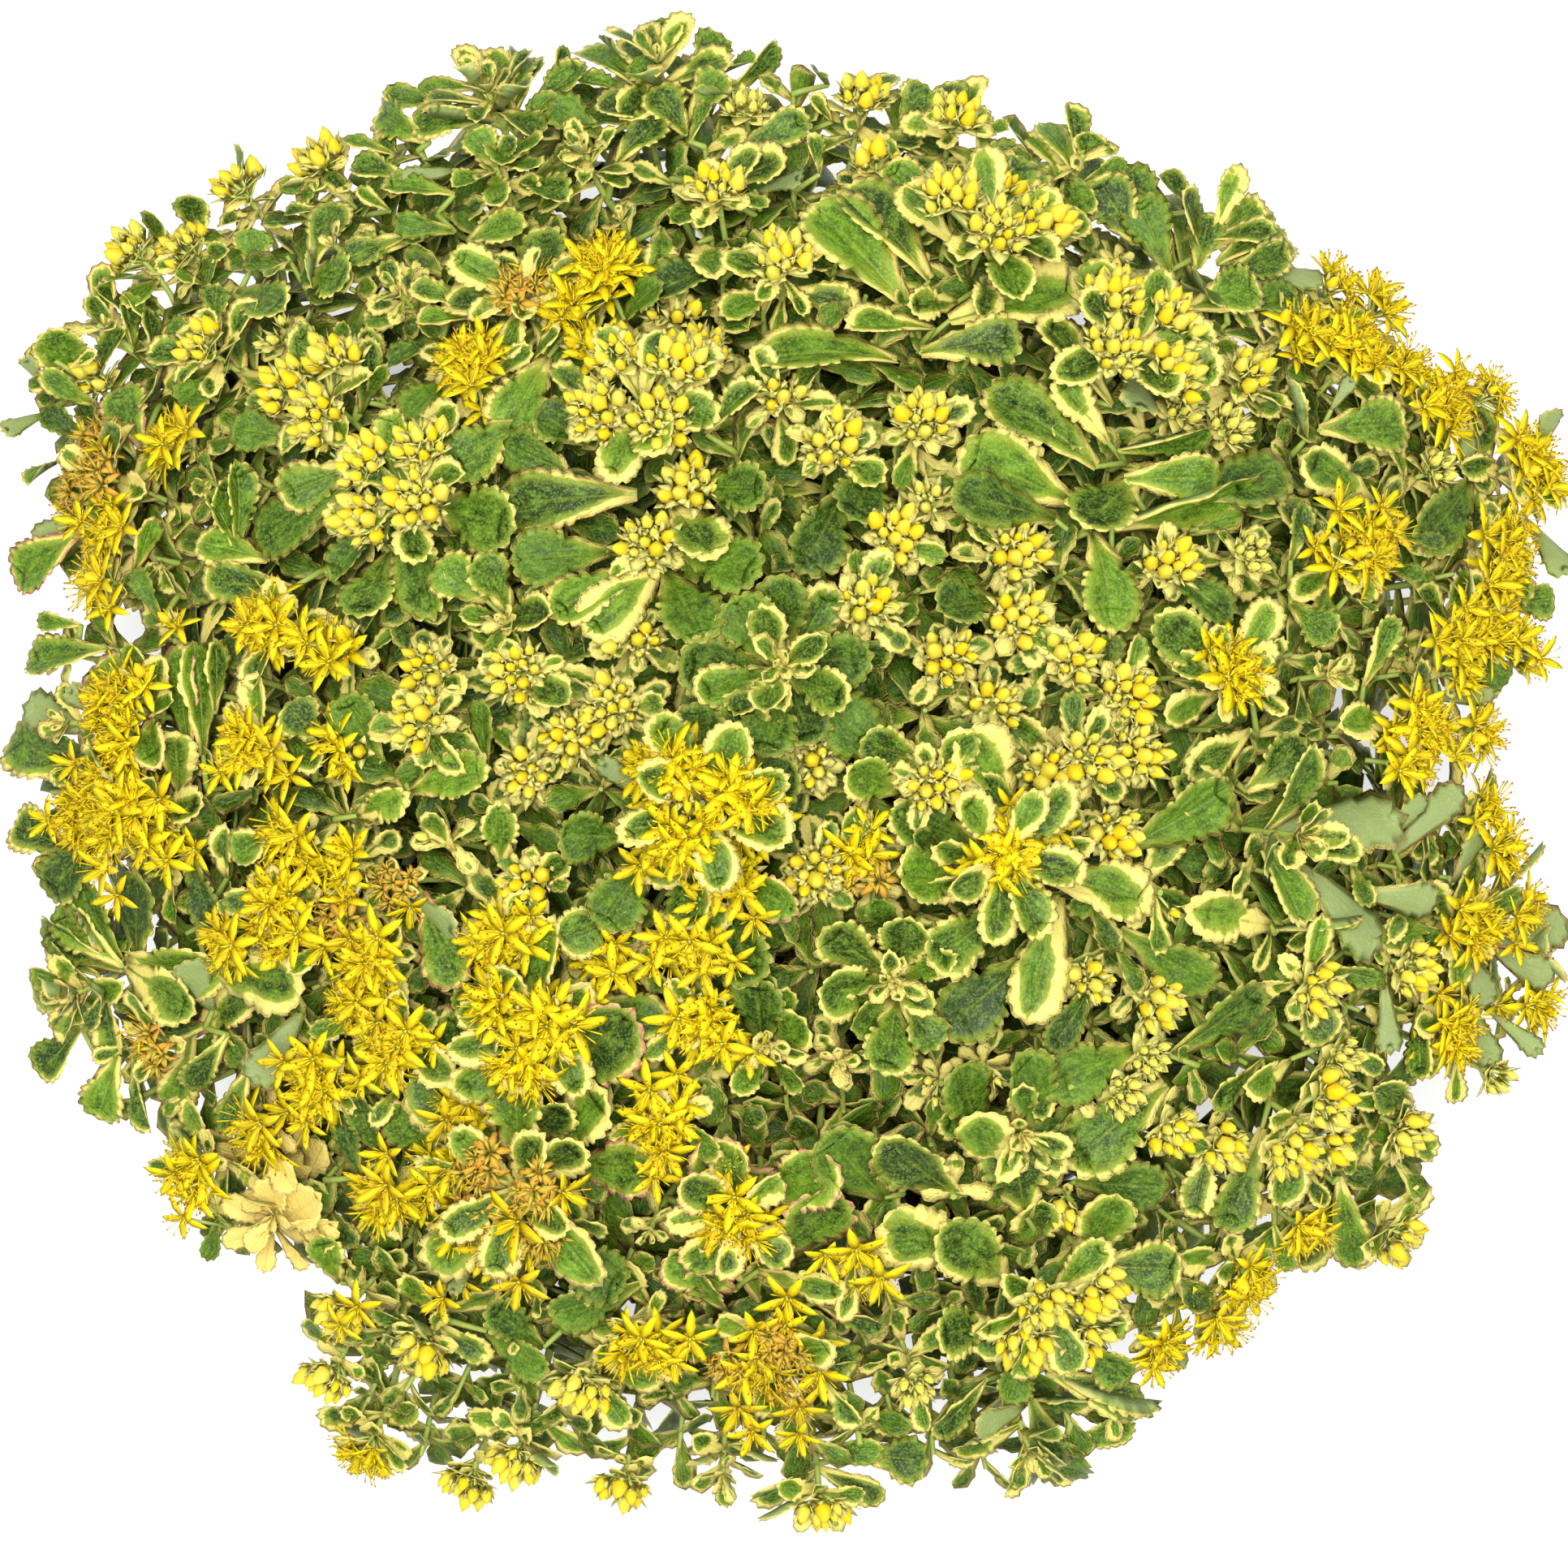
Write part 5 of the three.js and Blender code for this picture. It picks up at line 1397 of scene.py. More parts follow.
@dataclass
class Foliage:
    """The leaves of one clump."""

    longest: float = 31.0
    shortening: float = 0.4
    shapes: dict = field(default_factory=dict)
    seen: list = field(default_factory=list)
    planes: np.ndarray | None = None

    @staticmethod
    def shelve(shelf: Shelf) -> dict[str, list[int]]:
        """Makes the leaf shapes: big, middling and small ones, plain ones for the depth, smooth ones seen from behind."""
        made: dict[str, list[int]] = {"big": [], "middling": [], "plain": [], "small": [], "back": []}
        for i in range(8):
            common = {
                "width": 0.22 + 0.05 * draw(i, 1), "widest": 0.7 + 0.08 * draw(i, 2), "seed": i,
                "cup": 0.3 * (draw(i, 4) - 0.4), "wave": 0.03 * draw(i, 6), "notch": 0.03 + 0.018 * draw(i, 7),
            }
            fold, droop = 0.1 + 0.5 * draw(i, 3), 0.05 + 0.3 * draw(i, 5)
            big = LeafShape(teeth=5.5 + i % 2, samples=3, stalk=(0.0, 0.18, 0.33), fold=fold, droop=droop, **common)
            middling = LeafShape(teeth=4.5 + i % 2, fold=fold * 1.2, droop=droop * 1.1, **common)
            small = LeafShape(teeth=2.5, fold=fold, droop=droop, foot=0.06, thick=0.08, **common)
            made["big"].append(shelf.put(big.shell()))
            made["middling"].append(shelf.put(middling.shell()))
            plain = LeafShape(teeth=2.5, fold=fold, droop=droop, **common)
            made["plain"].append(shelf.put(plain.shell(ringed=False)))
            made["small"].append(shelf.put(small.shell(ringed=False)))
        for i in range(3):
            back = LeafShape(teeth=3.5, width=0.22, widest=0.8 - 0.03 * i, notch=0.05, fold=-0.2, cup=0.0,
                             droop=0.1, ring=0.1, toothed_from=0.6, seed=i, behind=1.0)
            made["back"].append(shelf.put(back.shell()))
        return made

    def set_leaf(self, points: Points, shoot: Shoot, number: int, root: Vector, axis: Vector,
                 length: float, rise: float, turn: float, cream: float, age: float) -> None:
        """Sets one leaf round a stem.

        Args:
            points: where the leaf is added.
            shoot: the shoot that carries it.
            number: the leaf's own number on the shoot, for its draws.
            root: where it leaves the stem.
            axis: the stem's direction there.
            length: the leaf's length.
            rise: how far it is raised from square to the stem, in degrees.
            turn: its bearing round the stem, in radians.
            cream: the width of its pale margin.
            age: how deep-set it is, from 0 to 1, and so how much painted shade darkens it.
        """
        side = Vector((1, 0, 0)).cross(axis).normalized()
        radial = Matrix.Rotation(turn, 3, axis) @ side
        raised = math.radians(rise)
        along = radial * math.cos(raised) + axis * math.sin(raised)
        if number >= shoot.solid_leaves and self.pierces(root, root + along * length):
            return
        if shoot.pale:
            cream = length
        self.lay_leaf(points, shoot.seed + number * 0.37, root, along, axis, length, cream, shoot.flush, age)

    def lay_leaf(self, points: Points, seed: float, root: Vector, along: Vector, up: Vector,
                 length: float, cream: float, flush: float, age: float) -> None:
        """Adds one leaf along a direction, its shape picked by its length."""
        group = "small" if length < 9.5 else "plain" if age > 0.35 else "big" if length > 17 else "middling"
        picks = self.shapes[group]
        pick = picks[int(draw(seed, 31) * len(picks))]
        wide = length * (0.9 + 0.25 * draw(seed, 32))
        nature = (draw(seed, 33), cream / length * (0.75 + 0.6 * draw(seed, 34)), flush * draw(seed, 35))
        roll = Matrix.Rotation(math.radians(64) * (draw(seed, 36) - 0.5), 3, along)
        points.add(root, basis_of(along, roll @ up), (wide, length, length), pick, nature, age)

    def clothe(self, points: Points, shoot: Shoot) -> None:
        """Sets the leaves of a shoot: those of the solid model first, then three tiers more."""
        leafy = shoot.kind is Kind.LEAFY
        plan = ROSETTE if leafy else ON_STEM
        zone = shoot.leaf * plan.zone
        longest = min(shoot.leaf * plan.longer, self.longest)
        first = shoot.solid_leaves
        start = draw(shoot.seed, 2) * math.tau
        for i in range(first):
            share = i / (first - 1)
            root, axis = shoot.curve.back(plan.below + zone * (1 - share))
            length = longest * (1 - self.shortening * share)
            rise = plan.rise + plan.steeper * share + 8 * (draw(shoot.seed, 20 + i) - 0.5)
            self.set_leaf(points, shoot, i, root, self.skyward(axis, 0.3), length, rise,
                          start + i * GOLDEN_TURN, 1.0, 0.4 * (1 - share))
        number = first
        tiers = FILLING_TIERS if shoot.sunk else LEAFY_TIERS if leafy else HEAD_TIERS
        if shoot.crowded:
            tiers = tiers[:1]
        for tier in tiers:
            for k in range(tier.count):
                share = (k + draw(shoot.seed, 80 + number)) / tier.count
                back, long, rise = (low + (high - low) * share for low, high in (tier.back, tier.length, tier.rise))
                root, axis = shoot.curve.back(back)
                length = min(shoot.leaf * long, self.longest)
                rise += 12 * (draw(shoot.seed, 120 + number) - 0.5)
                self.set_leaf(points, shoot, number, root, self.skyward(axis, 0.5), length, rise,
                              start + number * GOLDEN_TURN, tier.cream, min(tier.age * (0.4 + 0.6 * share), 1.0))
                number += 1

    def pierces(self, start: Vector, end: Vector) -> bool:
        """Whether a straight run goes through one of the leaves that stand out."""
        if self.planes is None:
            self.planes = np.array(self.seen)
        root, along, across, upper, size = (self.planes[:, k] for k in range(5))

        def height(place: Vector) -> np.ndarray:
            gap = np.array(place) - root
            return (gap * upper).sum(1) + size[:, 2] * ((gap * along).sum(1) / size[:, 0]).clip(0, 1) ** 2

        low, high = height(start), height(end)
        through = (low - 0.8) * (high + 0.8) < 0
        share = np.where(through, low / np.where(through, low - high, 1), 0).clip(0, 1)[:, None]
        gap = np.array(start) + (np.array(end) - np.array(start)) * share - root
        far = (gap * along).sum(1) / size[:, 0]
        side = np.abs((gap * across).sum(1)) / size[:, 1]
        return bool((through & (far > 0.12) & (far < 1.02) & (side < 0.25 + far)).any())

    def lay_seen(self, points: Points, number: int, root: Vector, tip: Vector, letters: str) -> None:
        """Adds a leaf that stands out, from its root to its tip.

        Args:
            points: where the leaf is added.
            number: its number in the table, for its draws.
            root: the end of the twig that carries it.
            tip: where its tip shows.
            letters: its looks.
        """
        looks = {LeafLook(letter) for letter in letters}
        along = tip - root
        seed = 700 + number * 1.37
        length = along.length
        up = (self.skyward(Vector((tip.x, tip.y, 60)).normalized(), 0.6) if length else UP)
        roll = 70 if LeafLook.EDGE_ON in looks else 60 * (draw(seed, 2) - 0.5)
        up = Matrix.Rotation(math.radians(roll), 3, along.normalized()) @ up
        yellow = LeafLook.YELLOW in looks
        cream = 1.0 if yellow else 0.075 if LeafLook.CREAM in looks else 0.022 if LeafLook.DARK in looks else 0.038
        pink = 1.0 if LeafLook.PINK_EDGED in looks else 0.15 * draw(seed, 5)
        # Dark leaves get painted shade; the others get a little at random.
        age = 0.5 if LeafLook.DARK in looks else 0.1 * draw(seed, 4)
        picks = self.shapes["back" if LeafLook.GREY_UNDERSIDE in looks else "big" if length > 15 else "middling"]
        pick = picks[int(draw(seed, 31) * len(picks))]
        wide = (11.5 + 0.72 * length if LeafLook.BROAD in looks else 0.96 * length) * (0.9 + 0.2 * draw(seed, 32))
        wide = min(max(wide, 9.0), 34.0)
        basis = basis_of(along, up)
        across, ahead, upper = (tuple(basis.col[k]) for k in range(3))
        self.seen.append((tuple(root), ahead, across, upper, (length, wide * 0.27, 0.2 * length)))
        points.add(root, basis, (wide, length, length), pick, (draw(seed, 33), cream, pink), age)

    @staticmethod
    def skyward(axis: Vector, share: float) -> Vector:
        """A direction turned part of the way up, as leaves turn to the light."""
        return (axis * (1 - share) + UP * share).normalized()


@dataclass
class Heads:
    """The flower heads of one clump."""

    foliage: Foliage
    spread: float = 5.0
    spread_by_leaf: float = 0.42
    spacing: dict = field(default_factory=lambda: {
        "bud": 1.36, "young": 1.05, "star": 1.95, "half": 1.9, "spent": 1.9})
    lift: float = 3.5
    shapes: dict = field(default_factory=dict)

    @staticmethod
    def shelve(shelf: Shelf) -> dict[str, list[int]]:
        """Makes the flower shapes."""
        put = shelf.put
        return {
            "bud": [put(BudShape().shell()), put(BudShape(0.31, 0.78, 0.2, 1.05).shell()),
                    put(BudShape(0.36, 0.5, 0.2, 0.6).shell())],
            "young": [put(BudShape(0.33, 0.8, 0.2, 0.35).shell()), put(BudShape(0.3, 0.9, 0.19, 0.7).shell())],
            "star": [put(FlowerShape(petal_rise=14 + 8 * i, seed=i).shell()) for i in range(4)],
            "half": [put(FlowerShape(petal_rise=48 + 8 * i, stamen_spread=24, seed=i + 9).shell())
                     for i in range(2)],
            "spent": [put(FlowerShape(
                petal_rise=30, petal_curl=60, petal_width=0.1, petal_long=0.7, petal_part=Part.WITHERED,
                stamens=4, stamen_long=0.5, carpel_long=0.62, carpel_spread=36, carpel_thick=0.12,
                carpel_part=Part.POD, seed=i + 20).shell()) for i in range(3)],
            "collar": [put(FlowerShape(
                petal_rise=24, petal_curl=20, petal_width=0.34, petal_part=Part.SEPAL, stamens=0,
                carpel_long=0.0, seed=i + 40).shell()) for i in range(2)],
            "stalk": [put(stalk_shell())],
        }

    def held(self, shoot: Shoot, seed: float) -> list[tuple[str, float, float, float]]:
        """What a cluster holds, from its middle outwards: (shape, size in mm, ripeness, fading)."""
        kind = shoot.kind
        if kind is Kind.YOUNG:
            return [("young", 3.4, 0.1, 0.0)] * 10
        if kind is Kind.BUD:
            count = 8 + int(shoot.leaf * 0.2 + 2 * draw(seed, 199))
            return [("bud", 4.5, 0.2 + 0.8 * draw(seed, 200 + i), 0.0) for i in range(count)]
        if kind in (Kind.FLOWER, Kind.BUNCH):
            stars = 5 if shoot.leaf < 11 or kind is Kind.BUNCH else 7
            made = [("star" if draw(seed, 210 + i) > 0.3 else "half", 6.6, 0.5, 0.0) for i in range(stars)]
            return made + [("bud", 4.4, 0.9, 0.0)] * 2
        return [("spent", 6.0, 0.5, 0.32)] * 7 + [("star", 6.8, 0.5, 0.1)]

    def bloom(self, points: Points, shoot: Shoot) -> None:
        """Sets the flowers of a head: one cluster, or four side by side on a big one."""
        if shoot.kind is Kind.LEAFY:
            return
        if shoot.leaf < 18 or shoot.kind is Kind.BUNCH:
            self.cluster(points, shoot, shoot.seed, shoot.tip, shoot.axis)
            return
        side = shoot.axis.orthogonal().normalized()
        open_flowers = shoot.kind is Kind.FLOWER
        apart = (self.spread + shoot.leaf * self.spread_by_leaf) * (0.44 if open_flowers else 0.58)
        count = 4 if shoot.leaf > 21 and not open_flowers else 3
        for k in range(count):
            radial = Matrix.Rotation((k + draw(shoot.seed, 4)) / count * math.tau, 3, shoot.axis) @ side
            axis = (shoot.axis + radial * 0.35).normalized()
            place = shoot.tip + radial * apart + shoot.axis * (self.lift - 2 * draw(shoot.seed, 6 + k))
            self.cluster(points, shoot, shoot.seed + 0.13 * (k + 1), place, axis)
            self.stalk(points, shoot.tip - shoot.axis * 5, place - axis * 1.5, 0.8)

    def single(self, points: Points, number: int, foot: Vector, place: Vector, radius: float) -> None:
        """Sets one open flower on a stalk that rises from a stem."""
        seed = 900 + number
        out = Vector((place.x, place.y, 0)) * 0.0045 + Vector((draw(seed, 1) - 0.5, draw(seed, 2) - 0.5, 0)) * 0.5
        aim = (UP + out).normalized()
        picks = self.shapes["star"]
        nature = (draw(seed, 3), 0.5, 0.25 * draw(seed, 4) ** 3)
        size = (radius * 0.95,) * 3
        points.add(place, aim_of(aim, draw(seed, 5) * 6), size, picks[int(draw(seed, 6) * len(picks))], nature)
        self.stalk(points, foot, place, 0.45)

    def stalk(self, points: Points, foot: Vector, end: Vector, thick: float) -> None:
        """Sets a straight stalk."""
        run = end - foot
        points.add(foot, aim_of(run.normalized(), 0), (thick, thick, run.length), self.shapes["stalk"][0], (0, 0, 0))

    def cluster(self, points: Points, shoot: Shoot, seed: float, tip: Vector, axis: Vector) -> None:
        """Sets one cluster of flowers on short stalks, on a low dome round a tip."""
        held = self.held(shoot, seed)
        side = axis.orthogonal().normalized()
        foot = tip - axis * 2.2
        if held[0][0] in ("bud", "young") and not self.foliage.pierces(foot, tip + axis * 4):
            reach = self.spacing["bud"] * math.sqrt(len(held)) + 2
            for k in range(2):
                points.add(tip + axis * (0.8 * k - 0.6), aim_of(axis, draw(seed, 350 + k) * 6),
                           (reach * (1.0 - 0.35 * k),) * 3, self.shapes["collar"][k], (draw(seed, 352), 0.5, 0.0))
        for i, (name, size, ripe, fade) in enumerate(held):
            share = math.sqrt((i + 0.35) / len(held))
            turn = Matrix.Rotation(i * GOLDEN_TURN + draw(seed, 3) * 6, 3, axis)
            radial = turn @ side
            wide = (self.spacing[name]) * math.sqrt(len(held))
            tilt = (0.55 if name in ("bud", "young") else 0.85) * share
            aim = (axis * math.cos(tilt) + radial * math.sin(tilt)).normalized()
            place = tip + radial * wide * share + axis * (1.8 - 2.4 * share * share + 1.6 * draw(seed, 330 + i))
            nature = (draw(seed, 230 + i), ripe, fade * (0.6 + 0.8 * draw(seed, 250 + i)))
            picks = self.shapes[name]
            pick = picks[int(draw(seed, 290 + i) * len(picks))]
            size *= 0.68 + 0.6 * draw(seed, 310 + i)
            if self.foliage.pierces(foot, place + aim * size):
                continue
            points.add(place, aim_of(aim, draw(seed, 270 + i) * 6), (size, size, size), pick, nature)
            self.stalk(points, foot, place, 0.4)


@dataclass
class Pot:
    """The round nursery pot."""

    height: float = 178.0
    base_radius: float = 84.0
    neck_radius: float = 106.0
    rim_radius: float = 111.0
    rim_depth: float = 16.0
    wall: float = 1.8
    floor: float = 2.5
    drains: int = 6
    drain_radius: float = 6.0
    drain_ring: float = 62.0
    sides: int = 120

    def inside(self, z: float) -> float:
        """The pot's inner radius at a height."""
        share = (z - self.floor) / (self.height - self.rim_depth - self.floor)
        return self.base_radius - self.wall + (self.neck_radius - self.base_radius) * min(share, 1)

    def profile(self) -> list[tuple[float, float]]:
        """The section, from the middle of the base outside, over the lip and down inside."""
        neck = self.height - self.rim_depth
        slope = (self.neck_radius - self.base_radius) / neck
        line = [(0.0, 1.2), (self.base_radius - 16, 1.2), (self.base_radius - 14, 0.0), (self.base_radius - 3, 0.0),
                (self.base_radius - 0.9, 0.9), (self.base_radius, 3.0)]
        for z in (12.0, 13.2, 60.0, 61.0, 112.0, 113.0):
            line.append((self.base_radius + slope * z + (0.5 if z in (13.2, 60.0, 113.0) else 0.0), z))
        line += [(self.neck_radius - 0.3, neck - 1.2), (self.neck_radius + 0.4, neck - 0.2),
                 (self.rim_radius - 1.2, neck), (self.rim_radius - 0.3, neck + 0.5), (self.rim_radius, neck + 1.6)]
        for i in range(7):
            angle = i / 6 * math.pi
            line.append((self.rim_radius - 2 + 2 * math.cos(angle), self.height - 2 + 2 * math.sin(angle)))
        line += [(self.neck_radius - self.wall + 1, self.height - 4), (self.neck_radius - self.wall, neck)]
        line += [(self.base_radius - self.wall, self.floor + 2), (self.base_radius - self.wall - 2, self.floor)]
        return line + [(0.0, self.floor)]

    def build(self) -> bpy.types.Object:
        """Turns the section, cuts the drains and returns the pot."""
        work = bmesh.new()
        rings = []
        for radius, z in self.profile():
            if radius == 0:
                rings.append([work.verts.new((0, 0, z * MM))])
                continue
            angles = [i / self.sides * math.tau for i in range(self.sides)]
            rings.append([work.verts.new((radius * math.cos(a) * MM, radius * math.sin(a) * MM, z * MM))
                          for a in angles])
        for low, high in zip(rings, rings[1:]):
            for k in range(self.sides):
                n = (k + 1) % self.sides
                corners = [low[k % len(low)], low[n % len(low)], high[n % len(high)], high[k % len(high)]]
                work.faces.new(list(dict.fromkeys(corners)))
        bmesh.ops.recalc_face_normals(work, faces=work.faces)
        pot = self.object("nursery_pot", work)
        self.cut_drains(pot)
        return pot

    @staticmethod
    def object(name: str, work: bmesh.types.BMesh) -> bpy.types.Object:
        """A worked mesh as an object in the scene, with smooth faces."""
        mesh = bpy.data.meshes.new(name)
        work.to_mesh(mesh)
        work.free()
        made = bpy.data.objects.new(name, mesh)
        bpy.context.scene.collection.objects.link(made)
        mesh.polygons.foreach_set("use_smooth", [True] * len(mesh.polygons))
        return made

    def cut_drains(self, pot: bpy.types.Object) -> None:
        """Cuts the drain holes through the base."""
        work = bmesh.new()
        for i in range(self.drains):
            angle = (i + 0.5) / self.drains * math.tau
            middle = Vector((math.cos(angle), math.sin(angle), 0)) * self.drain_ring * MM
            radius = self.drain_radius * MM
            bmesh.ops.create_cone(
                work, cap_ends=True, segments=24, radius1=radius, radius2=radius, depth=0.03,
                matrix=Matrix.Translation(middle))
        cutter = self.object("drain_cutter", work)
        cut = pot.modifiers.new("drains", "BOOLEAN")
        cut.operation = "DIFFERENCE"
        cut.solver = "EXACT"
        cut.object = cutter
        ready = pot.evaluated_get(bpy.context.evaluated_depsgraph_get())
        mesh = bpy.data.meshes.new_from_object(ready)
        pot.modifiers.remove(cut)
        old, pot.data = pot.data, mesh
        bpy.data.meshes.remove(old)
        bpy.data.objects.remove(cutter)
        mesh.name = "nursery_pot"
        mesh.set_sharp_from_angle(angle=math.radians(38))


@dataclass
class Soil:
    """The filling of potting soil, with its grains."""

    pot: Pot
    top: float = 160.0
    mound: float = 5.0
    lump: float = 1.6
    gap: float = 0.35
    rings: int = 40
    sides: int = 96
    grains: int = 1500

    def height(self, x: float, y: float) -> float:
        """The height of the surface: a low mound with lumps."""
        away = math.hypot(x, y) / self.pot.inside(self.top)
        lumps = math.sin(x * 0.13 + 1) * math.cos(y * 0.11) + 0.6 * math.sin(x * 0.29 - y * 0.23)
        return self.top + self.mound * (1 - away * away) + self.lump * lumps * (1 - away)

    def build(self) -> bpy.types.Object:
        """The filling as one closed mesh."""
        work = bmesh.new()
        bottom = self.pot.floor + self.gap
        edge = self.pot.inside(self.top) - self.gap - 0.2
        foot = self.pot.inside(bottom) - self.gap - 2.2
        rows = [(foot * s, bottom) for s in (0.5, 1.0)] + [(edge, self.top)]
        rows += [(edge * r / self.rings, None) for r in range(self.rings - 1, 0, -1)]
        middle = work.verts.new((0, 0, bottom * MM))
        last = None
        for radius, z in rows:
            ring = []
            for k in range(self.sides):
                angle = k / self.sides * math.tau
                x, y = radius * math.cos(angle), radius * math.sin(angle)
                rough = 0.5 * (draw(k, radius) - 0.5)
                ring.append(work.verts.new((x * MM, y * MM, (self.height(x, y) + rough if z is None else z) * MM)))
            for k in range(self.sides):
                n = (k + 1) % self.sides
                if last is None:
                    work.faces.new((middle, ring[n], ring[k]))
                else:
                    work.faces.new((last[k], last[n], ring[n], ring[k]))
            last = ring
        peak = work.verts.new((0, 0, self.height(0, 0) * MM))
        for k in range(self.sides):
            work.faces.new((last[k], last[(k + 1) % self.sides], peak))
        bmesh.ops.recalc_face_normals(work, faces=work.faces)
        return Pot.object("potting_soil", work)

    def scatter(self, tree: ScatterTree, finish: bpy.types.Material) -> bpy.types.Object:
        """Bark chips and perlite lying in the surface."""
        shelf = Shelf("grains")
        for i in range(4):
            shelf.put(grain_shell(i))
        points = Points()
        reach = self.pot.inside(self.top) - 4
        for i in range(self.grains):
            radius, angle = reach * math.sqrt(draw(i, 1)), draw(i, 2) * math.tau
            x, y = radius * math.cos(angle), radius * math.sin(angle)
            white = 1.0 if draw(i, 3) > 0.86 else 0.0
            size = 1.6 + 2.2 * draw(i, 4) if white else 1.8 + 4.5 * draw(i, 5) ** 2
            turn = aim_of(Vector((draw(i, 6) - 0.5, draw(i, 7) - 0.5, 1)).normalized(), draw(i, 8) * 6)
            scale = (size, size * (0.9 if white else 0.5), size * (0.9 if white else 0.4))
            points.add(Vector((x, y, self.height(x, y) + 0.2)), turn, scale, i % 4, (draw(i, 9), white, 0))
        made = tree.grow("soil_grains", points.mesh("grain_places"), {"Shapes": shelf.collection, "Material": finish})
        clean(made, ["nature"])
        shelf.clear()
        return made


@dataclass
class Plant:
    """All the shoots, gathered into clumps."""

    soil: Soil
    base_share: float = 0.42
    base_reach: float = 66.0
    hole_depth: float = 12.0
    leader_radius: float = 2.4
    side_radius: float = 1.6
    tip_radius: float = 0.6
    leader_bow: float = 0.45
    side_bow: float = 0.3
    tip_bow: float = 0.38
    fork: float = 0.5
    steps: int = 14
    fill_step: float = 34.0
    fill_gap: float = 66.0
    fill_depth: float = 15.0
    twig_radius: float = 0.7
    flower_height: float = 4.0
    clumps: list[list[Shoot]] = field(default_factory=list)
    twigs: list[list[tuple[Vector, Vector]]] = field(default_factory=list)

    def sprout(self) -> None:
        """Makes every shoot and its stem."""
        for index, rows in enumerate(CLUMPS):
            self.clumps.append([
                Shoot(*row, seed=index * 10 + order, leads=order == 0) for order, row in enumerate(rows)])
        owners = [(shoot.px, shoot.py, clump) for clump in self.clumps for shoot in clump]
        for number, row in enumerate(BETWEEN):
            near = min(owners, key=lambda o: math.hypot(o[0] - row[0], o[1] - row[1]))
            near[2].append(Shoot(*row, seed=400 + number, extra=True))
        taken = [(o[0], o[1]) for o in owners] + [(row[0], row[1]) for row in BETWEEN]
        for number, (px, py) in enumerate(self.filling(taken)):
            near = min(owners, key=lambda o: math.hypot(o[0] - px, o[1] - py))
            leaf = (13 + 5 * draw(number, 51)) * (1 - 0.2 * DOME.away(px, py))
            depth = self.fill_depth * (0.6 + 0.8 * draw(number, 52)) * (1 - 0.6 * min(DOME.away(px, py), 1))
            near[2].append(Shoot(px, py, L, leaf, seed=1000 + number, extra=True, sunk=max(depth, 1.0)))
        for clump in self.clumps:
            leader = clump[0]
            base = leader.tip.xy * self.base_share
            if base.length > self.base_reach:
                base = base.normalized() * self.base_reach
            foot = Vector((base.x, base.y, self.soil.height(base.x, base.y) - self.hole_depth))
            leader.curve = self.stem(foot, UP, leader, self.leader_bow)
            for shoot in clump[1:]:
                share = self.fork + (0.2 * draw(shoot.seed, 9) if shoot.extra else 0)
                start, way = leader.curve.at(share), leader.curve.heading(share)
                shoot.curve = self.stem(start, way, shoot, self.side_bow)

    def filling(self, taken: Sequence[tuple[float, float]]) -> list[tuple[float, float]]:
        """Pixels for the shoots that fill the canopy, on a shaken grid within the plant's edge."""
        found = []
        steps = int(DOME.axis[0] * 2 / self.fill_step) + 1
        for i in range(steps):
            for j in range(steps):
                px = (i + 0.15 + 0.7 * draw(i * 37 + j, 61)) * self.fill_step
                py = (j + 0.15 + 0.7 * draw(i * 37 + j, 62)) * self.fill_step
                inner = [DOME.crown[k] + ((px, py)[k] - DOME.crown[k]) * 1.05 for k in (0, 1)]
                gap = self.fill_gap * (1 - 0.3 * DOME.away(px, py))
                if inside(*inner) and min(math.hypot(px - x, py - y) for x, y in [*taken, *found]) > gap:
                    found.append((px, py))
        return found

    def gather(self, foliage: "Foliage", heads: "Heads", leaves: list[Points], flowers: list[Points]) -> None:
        """Sets the leaves and flowers that stand out, each on a twig from the nearest stem."""
        self.twigs = [[] for _ in self.clumps]
        marks, owners = [], []
        for index, clump in enumerate(self.clumps):
            for shoot in clump:
                for i in range(2, self.steps + 1):
                    marks.append(tuple(shoot.curve.at(i / self.steps)))
                    owners.append(index)
        marks = np.array(marks)

        def anchor(place: Vector) -> tuple[int, Vector]:
            gap = marks - np.array(place)
            level = np.hypot(gap[:, 0], gap[:, 1])
            cost = np.linalg.norm(gap, axis=1) + 3 * np.maximum(0, gap[:, 2] + 0.45 * level)
            best = int(np.argmin(cost))
            return owners[best], Vector(marks[best])

        rows = [row.split() for row in LEAVES_SEEN.replace("\n", ";").split(";") if row.strip()]
        for number, row in enumerate(rows):
            ax, ay, bx, by = (float(v) for v in row[:4])
            letters = row[4] if len(row) > 4 else ""
            root = DOME.seen(ax, ay, DOME.canopy(ax, ay) - 7 + 3 * draw(number, 71))
            tip = DOME.seen(bx, by, DOME.canopy(bx, by) + 3 + 4 * draw(number, 72))
            index, foot = anchor(root)
            self.twigs[index].append((foot, root))
            foliage.lay_seen(leaves[index], number, root, tip, letters)
            for shoot in self.clumps[index]:
                if math.hypot(shoot.px - ax, shoot.py - ay) < 60 and not shoot.sunk and DOME.away(ax, ay) < 0.8:
                    shoot.crowded = True
                shoot.pale = shoot.pale or "y" in letters and math.hypot(shoot.px - ax, shoot.py - ay) < 45
        for number, (px, py, radius) in enumerate(FLOWERS_SEEN):
            place = DOME.seen(px, py, DOME.canopy(px, py) + self.flower_height + 3 * draw(number, 73))
            index, foot = anchor(place - UP * 6)
            heads.single(flowers[index], number, foot, place, radius)
            aside = Matrix.Rotation(draw(number, 74) * math.tau, 3, "Z") @ Vector((radius * 0.8, 0, -2.5))
            heads.single(flowers[index], number + 300, foot, place + aside, radius * 0.85)

